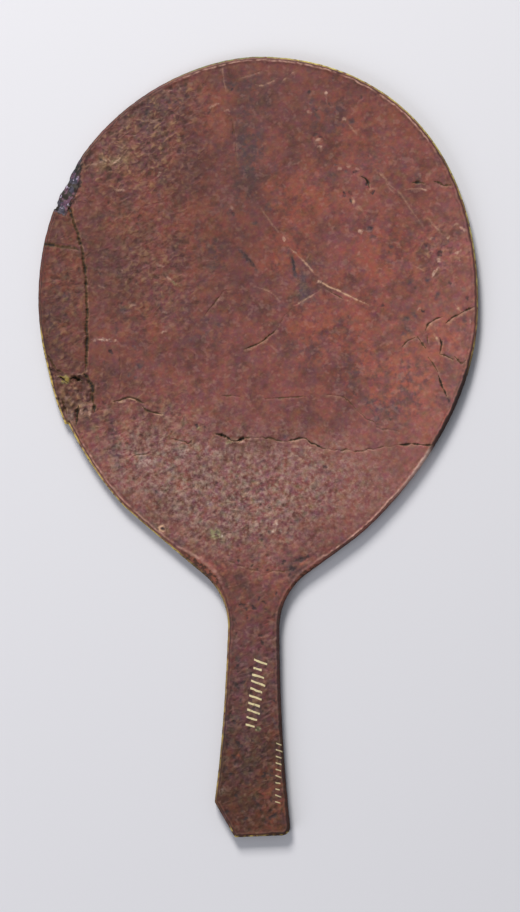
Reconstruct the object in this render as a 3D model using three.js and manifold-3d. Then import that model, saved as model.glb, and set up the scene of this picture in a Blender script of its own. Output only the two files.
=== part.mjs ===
// A copper hand mirror: one cast and hammered plate, an egg-shaped disc on a short flared handle.
// Millimetres, +Z up. It lies on its back with the reflecting face up and the handle towards -Y.

import * as THREE from "three";
import Module from "manifold-3d";

const wasm = await Module();
wasm.setup();

// Plate
const plateThickness = 3.4;
const undersideBevel = 0.5;
const rimBevelWidth = 0.9;
const rimBevelHeight = 0.7;
const rimLipWidth = 0.8;
const rimLipHeight = 0.15;

// Disc, left half: its widest line lies crownHeight below the top, and its curve ends on the
// straight flank, which falls to the neck at flankAngle degrees
const leftHalfWidth = 70.75;
const leftCrownHeight = 77.5;
const leftFlankHalfWidth = 41.1;
const leftFlankDepth = 68.2;
const leftFlankAngle = 39.4;

// Disc, right half: it is squarer at the shoulder, and its curve runs further down
const rightHalfWidth = 70.15;
const rightCrownHeight = 80;
const rightFlankHalfWidth = 32.9;
const rightFlankDepth = 73;
const rightFlankAngle = 37.2;

// How full the quarter curves are, as shares of each quarter's own width and height
const leftFullness = { top: 0.374, side: 0.684, bowl: 0.54, flank: 0.176 };
const rightFullness = { top: 0.51, side: 0.706, bowl: 0.555, flank: 0.05 };
const flankBow = 0.1;

// Handle, with its left butt corner cut off. The flare starts at a share of the handle's length
const handleLength = 77;
const neckWidth = 16.2;
const waistWidth = 17.7;
const buttWidth = 26.2;
const flareStart = 0.55;
const neckFilletRadius = 21.5;
const buttSlope = 3.2;
const buttCornerRadius = 2.7;
const cutCornerHeight = 11.8;
const cutCornerWidth = 8.2;

// The rim bevel was hammered wider where the disc runs into the neck
const leftNeckBevelGain = 1.9;
const rightNeckBevelGain = 0.9;
const neckBevelReach = 9;
const neckBevelDistance = 12.3;

// The broken strip of the left rim stands further out towards the step where it ends
const stripSpread = 1.1;
const stripTop = -0.29;
const stripStep = -0.535;

// Damage is placed in face shares: one unit across is half the disc's width, and one unit up is
// the left crown height, measured from the left widest line
const stripCrack = {
  path: [[-0.876, 0.369], [-0.828, 0.25], [-0.788, 0.065], [-0.779, -0.183], [-0.775, -0.34]],
  width: 0.75,
  depth: 2.2,
  wander: 0.12,
};
const stripCrossCrack = {
  path: [[-1.02, 0.208], [-0.909, 0.199], [-0.836, 0.194]],
  width: 0.45,
  depth: 0.8,
  wander: 0.08,
};
const pocketHole = {
  path: [[-0.852, -0.337], [-0.83, -0.345], [-0.803, -0.357]],
  width: 1,
  depth: 2.7,
  wander: 0.05,
};
const pocketSlit = {
  path: [[-0.812, -0.445], [-0.815, -0.49], [-0.817, -0.54]],
  width: 0.7,
  depth: 2.4,
  wander: 0.06,
};
const middleGap = {
  path: [[-0.195, -0.56], [-0.089, -0.592], [-0.045, -0.574]],
  width: 1.1,
  depth: 2.6,
  wander: 0.15,
};
const mainCrack = {
  path: [
    [-0.383, -0.579], [-0.188, -0.563], [-0.052, -0.574], [0.217, -0.588], [0.346, -0.623],
    [0.527, -0.621], [0.647, -0.585], [0.84, -0.593],
  ],
  width: 0.5,
  depth: 0.9,
  wander: 0.2,
};
const leftBowCrack = {
  path: [[-0.649, -0.426], [-0.582, -0.411], [-0.521, -0.438], [-0.438, -0.481]],
  width: 0.6,
  depth: 0.8,
  wander: 0.15,
};
const upperRunCrack = {
  path: [[0.041, -0.409], [0.266, -0.392], [0.372, -0.4], [0.509, -0.498], [0.578, -0.534]],
  width: 0.35,
  depth: 0.35,
  wander: 0.2,
};
const slantedCrack = {
  path: [[-0.25, -0.282], [-0.066, -0.205], [0.074, -0.134], [0.208, 0], [0.272, 0.056]],
  width: 0.4,
  depth: 0.5,
  wander: 0.15,
};
const longScratch = {
  path: [
    [-0.003, 0.38], [0.102, 0.251], [0.22, 0.135], [0.276, 0.077], [0.38, 0.019], [0.49, -0.022],
  ],
  width: 0.35,
  depth: 0.25,
  wander: 0.1,
};
const rightRimCrack = {
  path: [[1.02, -0.01], [0.916, -0.047], [0.773, -0.097], [0.654, -0.181]],
  width: 0.5,
  depth: 0.7,
  wander: 0.15,
};
const rightBranchCrack = {
  path: [[0.796, -0.144], [0.828, -0.178], [0.866, -0.225], [0.934, -0.252]],
  width: 0.4,
  depth: 0.5,
  wander: 0.1,
};
const rightDownCrack = {
  path: [[0.815, -0.295], [0.838, -0.348], [0.87, -0.417]],
  width: 0.5,
  depth: 0.6,
  wander: 0.1,
};
const shoulderCrack = {
  path: [[0.691, 0.486], [0.803, 0.496], [0.9, 0.482]],
  width: 0.6,
  depth: 0.8,
  wander: 0.08,
};
const castingSeam = {
  path: [[-0.184, 1.02], [-0.169, 0.852], [-0.136, 0.694], [-0.103, 0.579]],
  width: 0.45,
  depth: 0.35,
  wander: 0.12,
};
const cracks = [
  stripCrack, stripCrossCrack, pocketHole, pocketSlit, middleGap, mainCrack, leftBowCrack,
  upperRunCrack, slantedCrack, longScratch, rightRimCrack, rightBranchCrack, rightDownCrack,
  shoulderCrack, castingSeam,
];
const crackTip = 0.12;
const crackHeadroom = 1.2;
const crackStepLength = 2.2;
const wanderSeed = 7;

// The chip at the upper left: its break rises from a line on the underside to a line on the face,
// a band's width further in
const chipFoot = [[-0.829, 0.588], [-0.829, 0.568], [-0.866, 0.475], [-0.9, 0.421], [-0.925, 0.356]];
const chipBandWidths = [0.4, 0.9, 3.6, 4, 2.6];
const chipOverrun = 0.3;
const chipReach = 8;

// The pocket where the face broke away between the strip and the disc
const pocketOutline = [
  [-1.1, -0.287], [-0.938, -0.297], [-0.886, -0.321], [-0.828, -0.332], [-0.786, -0.331],
  [-0.76, -0.356], [-0.746, -0.401], [-0.747, -0.447], [-0.811, -0.452], [-0.817, -0.518],
  [-0.845, -0.535], [-1.1, -0.55],
];
const pocketDepth = 1.3;
const pocketWallSlant = 0.5;

// Sampling, and how far cutting solids reach past what they cut
const quarterSteps = 40;
const flankSteps = 10;
const sideSteps = 12;
const filletSteps = 10;
const cornerSteps = 5;
const cutterMargin = 1;

// Worked out from the sizes above. The left widest line is Y = 0 while the plate is drawn
const topY = leftCrownHeight;
const rightWidestY = topY - rightCrownHeight;
const discHalfWidth = (leftHalfWidth + rightHalfWidth) / 2;
const faceZ = plateThickness - rimLipHeight;
const lipInset = rimBevelWidth + rimLipWidth;

function onFace([across, up]) {
  return new THREE.Vector2(across * discHalfWidth, up * leftCrownHeight);
}

function leftOf(direction) {
  return new THREE.Vector2(-direction.y, direction.x).normalize();
}

function towards(from, to, distance) {
  return from.clone().addScaledVector(to.clone().sub(from).normalize(), distance);
}

function crossing(fromA, towardsA, fromB, towardsB) {
  const alongA = towardsA.clone().sub(fromA);
  const alongB = towardsB.clone().sub(fromB);
  const share = fromB.clone().sub(fromA).cross(alongB) / alongA.cross(alongB);
  return fromA.clone().addScaledVector(alongA, share);
}

function flipped(point) {
  return new THREE.Vector2(-point.x, point.y);
}

// An outline runs counterclockwise as a list of { at, inward }: inward is the way that the point
// moves for one millimetre of inset
function alongCurve(curve, steps) {
  return Array.from({ length: steps + 1 }, (_, step) => {
    const share = step / steps;
    return { at: curve.getPoint(share), inward: leftOf(curve.getTangent(share)) };
  });
}

// The arc that rounds the corner between two straight lines
function roundedCorner(before, corner, after, radius, steps) {
  const back = before.clone().sub(corner).normalize();
  const ahead = after.clone().sub(corner).normalize();
  const halfAngle = Math.acos(THREE.MathUtils.clamp(back.dot(ahead), -1, 1)) / 2;
  const bisector = back.clone().add(ahead).normalize();
  const centre = corner.clone().addScaledVector(bisector, radius / Math.sin(halfAngle));
  const tangentLength = radius / Math.tan(halfAngle);
  const first = corner.clone().addScaledVector(back, tangentLength).sub(centre);
  const last = corner.clone().addScaledVector(ahead, tangentLength).sub(centre);
  const sweep = Math.atan2(first.cross(last), first.dot(last));
  const bulgesOut = ahead.cross(back) > 0;
  return Array.from({ length: steps + 1 }, (_, step) => {
    const spoke = first.clone().rotateAround(new THREE.Vector2(), (sweep * step) / steps);
    const inward = spoke.clone().normalize().multiplyScalar(bulgesOut ? -1 : 1);
    return { at: centre.clone().add(spoke), inward };
  });
}

// A sharp corner, whose inset follows the mitre
function sharpCorner(before, corner, after) {
  const inwardBefore = leftOf(corner.clone().sub(before));
  const inwardAfter = leftOf(after.clone().sub(corner));
  const inward = inwardBefore.clone().add(inwardAfter);
  inward.divideScalar(1 + inwardBefore.dot(inwardAfter));
  return { at: corner.clone(), inward };
}

// One half of the disc, from the end of the flank up to the top, drawn right of the axis
function halfDisc(halfWidth, widestY, flank, flankAngle, fullness) {
  const angle = THREE.MathUtils.degToRad(flankAngle);
  const rise = new THREE.Vector2(Math.cos(angle), Math.sin(angle));
  const lead = fullness.flank * (halfWidth - flank.x);
  const widest = new THREE.Vector2(halfWidth, widestY);
  const bowl = new THREE.CubicBezierCurve(
    flank,
    flank.clone().addScaledVector(rise, lead),
    new THREE.Vector2(halfWidth, widestY - fullness.bowl * (widestY - flank.y)),
    widest,
  );
  const crown = new THREE.CubicBezierCurve(
    widest,
    new THREE.Vector2(halfWidth, widestY + fullness.side * (topY - widestY)),
    new THREE.Vector2(fullness.top * halfWidth, topY),
    new THREE.Vector2(0, topY),
  );
  return { bowl: alongCurve(bowl, quarterSteps), crown: alongCurve(crown, quarterSteps) };
}

function onTheLeft(points) {
  return points.map(({ at, inward }) => ({ at: flipped(at), inward: flipped(inward) })).reverse();
}

// The strip's rim swings out from its upper end down to the step, and ends there
function withStrip(bowl) {
  const top = stripTop * leftCrownHeight;
  const step = stripStep * leftCrownHeight;
  const spread = ({ at, inward }) => {
    const share = THREE.MathUtils.clamp((top - at.y) / (top - step), 0, 1);
    return { at: at.clone().addScaledVector(inward, -stripSpread * share), inward };
  };
  const afterStep = bowl.findIndex((point) => point.at.y < step);
  return [...bowl.slice(0, afterStep).map(spread), ...bowl.slice(afterStep - 1)];
}

// The corner points that the handle and its joins with the disc are drawn through
function handlePlan() {
  const leftFlank = new THREE.Vector2(-leftFlankHalfWidth, -leftFlankDepth);
  const rightFlank = new THREE.Vector2(rightFlankHalfWidth, rightWidestY - rightFlankDepth);
  const neckHalf = neckWidth / 2;
  const fall = (angle) => Math.tan(THREE.MathUtils.degToRad(angle));
  const neckY = leftFlank.y - (leftFlankHalfWidth - neckHalf) * fall(leftFlankAngle);
  const buttY = neckY - handleLength;
  const waistY = neckY - flareStart * handleLength;
  const buttRise = (buttWidth / 2) * fall(buttSlope);
  const leftNeck = new THREE.Vector2(-neckHalf, neckY);
  const leftWaist = new THREE.Vector2(-waistWidth / 2, waistY);
  const leftButt = new THREE.Vector2(-buttWidth / 2, buttY - buttRise);
  const rightButt = new THREE.Vector2(buttWidth / 2, buttY + buttRise);
  const rightWaist = flipped(leftWaist);
  const belowFlank = new THREE.Vector2(0, rightFlank.y - rightFlank.x * fall(rightFlankAngle));
  const rightNeck = crossing(rightWaist, flipped(leftNeck), rightFlank, belowFlank);
  return {
    leftFlank, leftNeck, leftWaist, leftButt, rightButt, rightWaist, rightNeck, rightFlank,
  };
}

const plan = handlePlan();

function mirrorOutline() {
  const { leftFlank, leftNeck, leftWaist, leftButt } = plan;
  const { rightButt, rightWaist, rightNeck, rightFlank } = plan;
  const right = halfDisc(rightHalfWidth, rightWidestY, rightFlank, rightFlankAngle, rightFullness);
  const left = halfDisc(leftHalfWidth, 0, flipped(leftFlank), leftFlankAngle, leftFullness);

  const cutOnSide = towards(leftButt, leftWaist, cutCornerHeight);
  const cutOnButt = towards(leftButt, rightButt, cutCornerWidth);
  const buttCorner = roundedCorner(
    cutOnButt, rightButt, rightWaist, Math.max(buttCornerRadius, lipInset), cornerSteps,
  );
  const rightFillet = roundedCorner(
    rightWaist, rightNeck, rightFlank, neckFilletRadius, filletSteps,
  );
  const leftFillet = roundedCorner(
    leftFlank, leftNeck, leftWaist, neckFilletRadius, filletSteps,
  );

  const side = (from, waist, to) => {
    const curve = new THREE.QuadraticBezierCurve(from, waist, to);
    return alongCurve(curve, sideSteps).slice(1, -1);
  };
  const flank = (from, to) => {
    const outward = leftOf(to.clone().sub(from)).negate();
    const bulge = from.clone().lerp(to, 0.5).addScaledVector(outward, 2 * flankBow);
    return alongCurve(new THREE.QuadraticBezierCurve(from, bulge, to), flankSteps).slice(1, -1);
  };
  return [
    sharpCorner(cutOnSide, cutOnButt, rightButt),
    ...buttCorner,
    ...side(buttCorner.at(-1).at, rightWaist, rightFillet[0].at),
    ...rightFillet,
    ...flank(rightFillet.at(-1).at, rightFlank),
    ...right.bowl,
    ...right.crown.slice(1),
    ...onTheLeft(left.crown).slice(1),
    ...withStrip(onTheLeft(left.bowl)).slice(1),
    ...flank(leftFlank, leftFillet[0].at),
    ...leftFillet,
    ...side(leftFillet.at(-1).at, leftWaist, cutOnSide),
    sharpCorner(leftWaist, cutOnSide, cutOnButt),
  ];
}

// How many times wider than usual the rim bevel is at a point of the outline
function bevelFlare(point) {
  const swell = (corner, flank) => {
    const distance = point.distanceTo(towards(corner, flank, neckBevelDistance));
    return Math.exp(-((distance / neckBevelReach) ** 2));
  };
  const left = leftNeckBevelGain * swell(plan.leftNeck, plan.leftFlank);
  const right = rightNeckBevelGain * swell(plan.rightNeck, plan.rightFlank);
  return 1 + left + right;
}

function ringAt(outline, inset, z, flare = () => 1) {
  return outline.map(({ at, inward }) => {
    const moved = at.clone().addScaledVector(inward, inset * flare(at));
    return new THREE.Vector3(moved.x, moved.y, z);
  });
}

// A solid through rings of equal length, with flat ends. Its rings turn counterclockwise as seen
// from beyond the last ring
function loft(rings, capTriangles) {
  const count = rings[0].length;
  const vertices = rings.flat().flatMap((point) => [point.x, point.y, point.z]);
  const triangles = [];
  for (let level = 0; level + 1 < rings.length; level += 1) {
    for (let index = 0; index < count; index += 1) {
      const next = (index + 1) % count;
      const low = level * count;
      const high = low + count;
      triangles.push(low + index, low + next, high + next);
      triangles.push(low + index, high + next, high + index);
    }
  }
  const lastRing = (rings.length - 1) * count;
  for (const [a, b, c] of capTriangles) {
    triangles.push(a, c, b);
    triangles.push(lastRing + a, lastRing + b, lastRing + c);
  }
  const mesh = new wasm.Mesh({
    numProp: 3,
    vertProperties: new Float32Array(vertices),
    triVerts: new Uint32Array(triangles),
  });
  return new wasm.Manifold(mesh);
}

function flatCap(ring) {
  const contour = ring.map((point) => new THREE.Vector2(point.x, point.y));
  return THREE.ShapeUtils.triangulateShape(contour, []);
}

// A seeded run of numbers between -1 and 1, so that a crack isn't a clean spline
function seededWander(seed) {
  const modulus = 2147483647;
  let state = seed;
  return () => {
    state = (state * 16807) % modulus;
    return (2 * state) / modulus - 1;
  };
}

// A V-shaped groove along a path, widest in the middle and running out at both ends
function crackCutter({ path, width, depth, wander }, seed) {
  const random = seededWander(seed);
  const curve = new THREE.SplineCurve(path.map(onFace));
  const steps = Math.max(4, Math.round(curve.getLength() / crackStepLength));
  const rings = Array.from({ length: steps + 1 }, (_, step) => {
    const share = step / steps;
    const side = leftOf(curve.getTangentAt(share));
    const fade = Math.max(crackTip, Math.sqrt(Math.sin(Math.PI * share)));
    const middle = curve.getPointAt(share).addScaledVector(side, wander * random());
    const left = middle.clone().addScaledVector(side, (fade * width) / 2);
    const right = middle.clone().addScaledVector(side, (-fade * width) / 2);
    return [
      new THREE.Vector3(left.x, left.y, faceZ),
      new THREE.Vector3(middle.x, middle.y, faceZ + crackHeadroom),
      new THREE.Vector3(right.x, right.y, faceZ),
      new THREE.Vector3(middle.x, middle.y, faceZ - depth * fade),
    ];
  });
  return loft(rings, [[0, 1, 2], [0, 2, 3]]);
}

function chipCutter() {
  const foot = chipFoot.map(onFace);
  const edgeAt = (share) => foot.map(
    (point, index) => towards(point, new THREE.Vector2(), share * chipBandWidths[index]),
  );
  const outside = foot.map((point) => towards(point, new THREE.Vector2(), -chipReach));
  const ring = (share, z) => [...outside, ...edgeAt(share).reverse()].map(
    (point) => new THREE.Vector3(point.x, point.y, z),
  );
  const rings = [
    ring(-chipOverrun, -cutterMargin),
    ring(1 + chipOverrun, plateThickness + cutterMargin),
  ];
  return loft(rings, flatCap(rings[0]));
}

function pocketCutter() {
  const outline = pocketOutline.map(onFace).reverse();
  const middle = new THREE.Vector2();
  outline.forEach((point) => middle.addScaledVector(point, 1 / outline.length));
  const ring = (shrink, z) => outline.map((point) => {
    const moved = towards(point, middle, shrink);
    return new THREE.Vector3(moved.x, moved.y, z);
  });
  const rings = [
    ring(pocketWallSlant, faceZ - pocketDepth),
    ring(0, plateThickness + cutterMargin),
  ];
  return loft(rings, flatCap(rings[0]));
}

function mirrorSolid() {
  const outline = mirrorOutline();
  const rings = [
    ringAt(outline, undersideBevel, 0),
    ringAt(outline, 0, undersideBevel),
    ringAt(outline, 0, plateThickness - rimBevelHeight),
    ringAt(outline, rimBevelWidth, plateThickness, bevelFlare),
    ringAt(outline, lipInset, faceZ, bevelFlare),
  ];
  const cutters = [
    chipCutter(),
    pocketCutter(),
    ...cracks.map((crack, index) => crackCutter(crack, wanderSeed + index)),
  ];
  return cutters.reduce((solid, cutter) => solid.subtract(cutter), loft(rings, flatCap(rings[0])));
}

function toGeometry(solid) {
  const { vertProperties, triVerts } = solid.getMesh();
  const geometry = new THREE.BufferGeometry();
  geometry.setAttribute("position", new THREE.BufferAttribute(vertProperties, 3));
  geometry.setIndex(new THREE.BufferAttribute(triVerts, 1));
  geometry.computeVertexNormals();
  geometry.computeBoundingBox();
  return geometry;
}

const patinatedCopper = new THREE.MeshStandardMaterial({
  color: 0x6f4038,
  roughness: 0.68,
  metalness: 0.55,
});

const mirror = new THREE.Mesh(toGeometry(mirrorSolid()), patinatedCopper);
mirror.name = "mirror";

// The origin is the middle of the bounding box, on the resting face
const middle = mirror.geometry.boundingBox.getCenter(new THREE.Vector3());
mirror.position.set(-middle.x, -middle.y, 0);

const handMirror = new THREE.Group();
handMirror.add(mirror);

export default handMirror;
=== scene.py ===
"""Ancient copper hand mirror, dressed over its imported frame.

The mirror is one cast and hammered plate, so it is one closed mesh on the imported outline. The classes
below build its skin, a Geometry Nodes tree works the cracks, grain and pits into it, and one patina
paints it. Lengths are in millimetres until a mesh is made, and then in metres.
"""

import logging
import math
from dataclasses import dataclass
from enum import Enum

import bmesh
import bpy
import numpy as np
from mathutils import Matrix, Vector
from mathutils.geometry import delaunay_2d_cdt
from mathutils.kdtree import KDTree


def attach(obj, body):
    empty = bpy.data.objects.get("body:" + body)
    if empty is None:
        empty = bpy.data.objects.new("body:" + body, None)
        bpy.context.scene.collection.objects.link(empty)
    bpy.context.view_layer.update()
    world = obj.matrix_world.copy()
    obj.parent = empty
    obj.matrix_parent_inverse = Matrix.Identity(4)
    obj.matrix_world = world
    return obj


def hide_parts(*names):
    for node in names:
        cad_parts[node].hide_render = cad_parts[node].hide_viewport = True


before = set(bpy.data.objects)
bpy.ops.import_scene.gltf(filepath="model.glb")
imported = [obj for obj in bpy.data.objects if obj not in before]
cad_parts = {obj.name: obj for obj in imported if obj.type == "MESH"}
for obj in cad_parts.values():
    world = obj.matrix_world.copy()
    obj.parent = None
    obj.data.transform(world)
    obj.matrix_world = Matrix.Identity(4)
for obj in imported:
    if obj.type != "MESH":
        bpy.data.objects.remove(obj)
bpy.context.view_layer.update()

# One millimetre in metres.
METRES = 0.001
Colour = tuple[float, float, float, float]
# The corrosion's seed, and its typical distance from ridge to ridge in millimetres.
SEED = 7.3
GRAIN = 1.9
# The blister's middle and the radius of the hollow round it, in millimetres.
BLISTER = (30.3, 85.0)
BLISTER_RADIUS = 4.8
# The lowest and the highest that the face's skin goes before the grain is raised.
SKIN_RANGE = (0.62, 3.397)
# The rim attribute's value away from the rim, in millimetres.
FAR_IN = 6.0
LOG = logging.getLogger("hand_mirror")


class Zone(Enum):
    """The kinds of ground that the patina shows, and a broad painted shade, each kept as an attribute of the
    mesh.
    """

    CRUST = "crust"
    EMBER = "ember"
    ASH = "ash"
    SHADE = "shade"
    BRUISE = "bruise"
    PALE = "pale"
    VERDIGRIS = "verdigris"
    # Painted shade: dark brown laid broadly over the disc's left and top, and darker patches on the handle.
    UMBER = "umber"
    CHALK = "chalk"


class Tone(Enum):
    """How a small mark on the face looks, with the zone that it adds to."""

    DARK = Zone.BRUISE
    BRIGHT = Zone.PALE
    GREEN = Zone.VERDIGRIS
    SLATE = Zone.SHADE
    RUSTY = Zone.EMBER
    CHALKY = Zone.CHALK


class Kit:
    """Adds nodes to one tree, for a material or for Geometry Nodes."""

    def __init__(self, tree: bpy.types.NodeTree) -> None:
        """Keep the node tree of a material or of a modifier."""
        self.tree = tree

    def node(self, kind: str, settings: dict | None = None, inputs: dict | None = None) -> bpy.types.Node:
        """Add a node, set its settings first and then its sockets.

        Args:
            kind: The node's type.
            settings: Its properties by name, such as operation.
            inputs: Values or links by socket name or number.

        Returns:
            The new node.
        """
        made = self.tree.nodes.new(kind)
        for name, value in (settings or {}).items():
            setattr(made, name, value)
        for name, value in (inputs or {}).items():
            socket = made.inputs[name]
            if isinstance(value, Val):
                self.tree.links.new(value.socket, socket)
            else:
                socket.default_value = value
        return made

    def val(
        self, kind: str, settings: dict | None = None, inputs: dict | None = None, out: int | str = 0
    ) -> "Val":
        """Add a node and give the output of that name or number."""
        return Val(self, self.node(kind, settings, inputs).outputs[out])

    def math(self, operation: str, *values: "Val | float") -> "Val":
        """Add a Math node on these values and give its result."""
        return self.val("ShaderNodeMath", {"operation": operation}, dict(enumerate(values)))

    def step(self, value: "Val", low: float, high: float) -> "Val":
        """Rise smoothly from 0 at low to 1 at high, or fall where low is the larger.

        Args:
            value: What is tested.
            low: Where the result is 0.
            high: Where the result is 1.

        Returns:
            The smooth step.
        """
        ends = (low, high, 0.0, 1.0) if low < high else (high, low, 1.0, 0.0)
        sockets = {0: value, 1: ends[0], 2: ends[1], 3: ends[2], 4: ends[3]}
        return self.val("ShaderNodeMapRange", {"interpolation_type": "SMOOTHSTEP"}, sockets)

    def bell(self, value: "Val", centre: float, reach: float) -> "Val":
        """Be 1 where value is centre and fade to 0 at reach from it."""
        return self.step(abs(value - centre), reach, 0.0)

    def noise(
        self, place: "Val", scale: "Val | float", detail: float = 2.0, rough: float = 0.5, out: int = 0,
        bend: float = 0.0,
    ) -> "Val":
        """Give a noise of that many waves a unit, as a value, or as a colour with out 1."""
        sockets = {"Vector": place, "Scale": scale, "Detail": detail, "Roughness": rough, "Distortion": bend}
        return self.val("ShaderNodeTexNoise", {}, sockets, out)

    def vector(self, operation: str, left: "Val", right: "Val | tuple | float") -> "Val":
        """Add a Vector Math node, with a number on the right for SCALE and a vector for the others."""
        second = "Scale" if operation == "SCALE" else 1
        return self.val("ShaderNodeVectorMath", {"operation": operation}, {0: left, second: right})

    def join(self, *parts: "Val | float") -> "Val":
        """Make a vector of its x, y and z."""
        return self.val("ShaderNodeCombineXYZ", {}, dict(enumerate(parts)))

    def split(self, vector: "Val") -> list["Val"]:
        """Give a vector's x, y and z."""
        return [Val(self, socket) for socket in self.node("ShaderNodeSeparateXYZ", {}, {0: vector}).outputs]

    def corroded(self, flat: "Val", size: "Val | float") -> "Val":
        """Give the wormy unevenness of corroded copper, mostly between -1 and 1.

        Args:
            flat: The place on the face in millimetres, with the seed as its height.
            size: The typical distance from ridge to ridge.

        Returns:
            The unevenness.
        """
        scale = self.math("DIVIDE", 1.0, size)
        lean = {"Vector": flat, "Angle": -0.55}
        turned = self.val("ShaderNodeVectorRotate", {"rotation_type": "Z_AXIS"}, lean)
        drawn = self.vector("MULTIPLY", turned, (0.84, 1.1, 1.0))
        blobs = self.noise(drawn, scale, 1.4, bend=0.6)
        folds = self.noise(drawn, scale * 0.55, 1.2, bend=0.8)
        ridge = (1.0 - abs(folds - 0.5) * 7.0).most(0.0)
        return (blobs - 0.5) * 3.0 + ridge * 0.75 - 0.25

    def blend(
        self, share: "Val | float", under: "Val | tuple", over: "Val | tuple", way: str = "MIX"
    ) -> "Val":
        """Lay a share of one colour over another."""
        settings = {"data_type": "RGBA", "blend_type": way, "clamp_factor": True}
        return self.val("ShaderNodeMix", settings, {0: share, 6: under, 7: over}, 2)

    def coats(self, ground: "Val | tuple", *layers: "tuple[Val | float, Val | tuple]") -> "Val":
        """Lay coats over a ground in order, each as its share and its colour."""
        for share, over in layers:
            ground = self.blend(share, ground, over)
        return ground


class Val:
    """A node's output, written with in ordinary expressions."""

    def __init__(self, kit: Kit, socket: bpy.types.NodeSocket) -> None:
        self.kit = kit
        self.socket = socket

    def __add__(self, other: "Val | float") -> "Val":
        """Add."""
        return self.kit.math("ADD", self, other)

    __radd__ = __add__

    def __sub__(self, other: "Val | float") -> "Val":
        """Subtract."""
        return self.kit.math("SUBTRACT", self, other)

    def __rsub__(self, other: float) -> "Val":
        """Subtract this from a number."""
        return self.kit.math("SUBTRACT", other, self)

    def __mul__(self, other: "Val | float") -> "Val":
        """Multiply."""
        return self.kit.math("MULTIPLY", self, other)

    __rmul__ = __mul__

    def __truediv__(self, other: "Val | float") -> "Val":
        """Divide."""
        return self.kit.math("DIVIDE", self, other)

    def __rtruediv__(self, other: float) -> "Val":
        """Divide a number by this."""
        return self.kit.math("DIVIDE", other, self)

    def __abs__(self) -> "Val":
        """Drop the sign."""
        return self.kit.math("ABSOLUTE", self)

    def floor(self) -> "Val":
        """Round down."""
        return self.kit.math("FLOOR", self)

    def fract(self) -> "Val":
        """Keep what is behind the point."""
        return self.kit.math("FRACT", self)

    def least(self, other: "Val | float") -> "Val":
        """Give the smaller of the two."""
        return self.kit.math("MINIMUM", self, other)

    def most(self, other: "Val | float") -> "Val":
        """Give the larger of the two."""
        return self.kit.math("MAXIMUM", self, other)

    def within(self) -> "Val":
        """Hold it between 0 and 1."""
        return self.most(0.0).least(1.0)


def paint(red: int, green: int, blue: int) -> Colour:
    """Turn a screen colour from 0 to 255 into the linear colour that a shader takes."""
    linear = [c / 255 / 12.92 if c <= 10 else ((c / 255 + 0.055) / 1.055) ** 2.4 for c in (red, green, blue)]
    return (*linear, 1.0)


@dataclass(frozen=True)
class Crack:
    """One crack, scratch or seam in the face.

    Args:
        path: Its bends, in millimetres.
        width: Its width across at the face.
        depth: How deep it goes.
        dark: How dark its bottom is.
        wander: How far it strays from a straight run between bends.
        lip: Height of the edges that stand up beside it.
        glow: How strong the painted highlight is on the edge below it.
        breaks: How far it closes up in places.
        pale: How pale the line itself is.
    """

    path: tuple[tuple[float, float], ...]
    width: float
    depth: float
    dark: float
    wander: float = 0.1
    lip: float = 0.04
    glow: float = 0.6
    breaks: float = 0.0
    pale: float = 0.0


@dataclass(frozen=True)
class Mark:
    """A pit, blister or small stain.

    Args:
        x: Place across, in millimetres.
        y: Place along.
        size: Half its length.
        thin: Its width as a share of its length.
        turn: Its direction in degrees from +X.
        rise: Height of a bump, or below 0 the depth of a pit.
        tone: How it looks.
        weight: How strongly it shows.
    """

    x: float
    y: float
    size: float
    thin: float
    turn: float
    rise: float
    tone: Tone
    weight: float = 1.0


@dataclass(frozen=True)
class Patch:
    """A soft-edged stretch of one kind of ground.

    Args:
        zone: The kind of ground.
        x: Its middle across, in millimetres.
        y: Its middle along.
        wide: Half its width.
        tall: Half its height.
        weight: How strongly it shows in the middle.
        turn: Its direction in degrees.
    """

    zone: Zone
    x: float
    y: float
    wide: float
    tall: float
    weight: float
    turn: float = 0.0


def cut(width: float, depth: float, dark: float, *path: tuple[float, float], **more: float) -> Crack:
    """Describe an open crack along a path, with what else about it differs from the usual."""
    return Crack(path, width, depth, dark, **more)


def scratch(pale: float, *path: tuple[float, float], **more: float) -> Crack:
    """Describe a shallow pale scratch along a path, with what else about it differs from the usual."""
    usual = {"width": 0.4, "depth": 0.03, "dark": 0.0, "glow": 0.1, "breaks": 0.3}
    return Crack(path, pale=pale, **{**usual, **more})


def toned(tone: Tone, *rows: tuple[float, ...]) -> list[Mark]:
    """Make marks of one tone from rows of x, y, size, thin, turn, rise and any weight."""
    return [Mark(*row[:6], tone, *row[6:]) for row in rows]


def zoned(zone: Zone, *rows: tuple[float, ...]) -> list[Patch]:
    """Make patches of one zone from rows of x, y, wide, tall, weight and any turn."""
    return [Patch(zone, *row) for row in rows]


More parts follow.
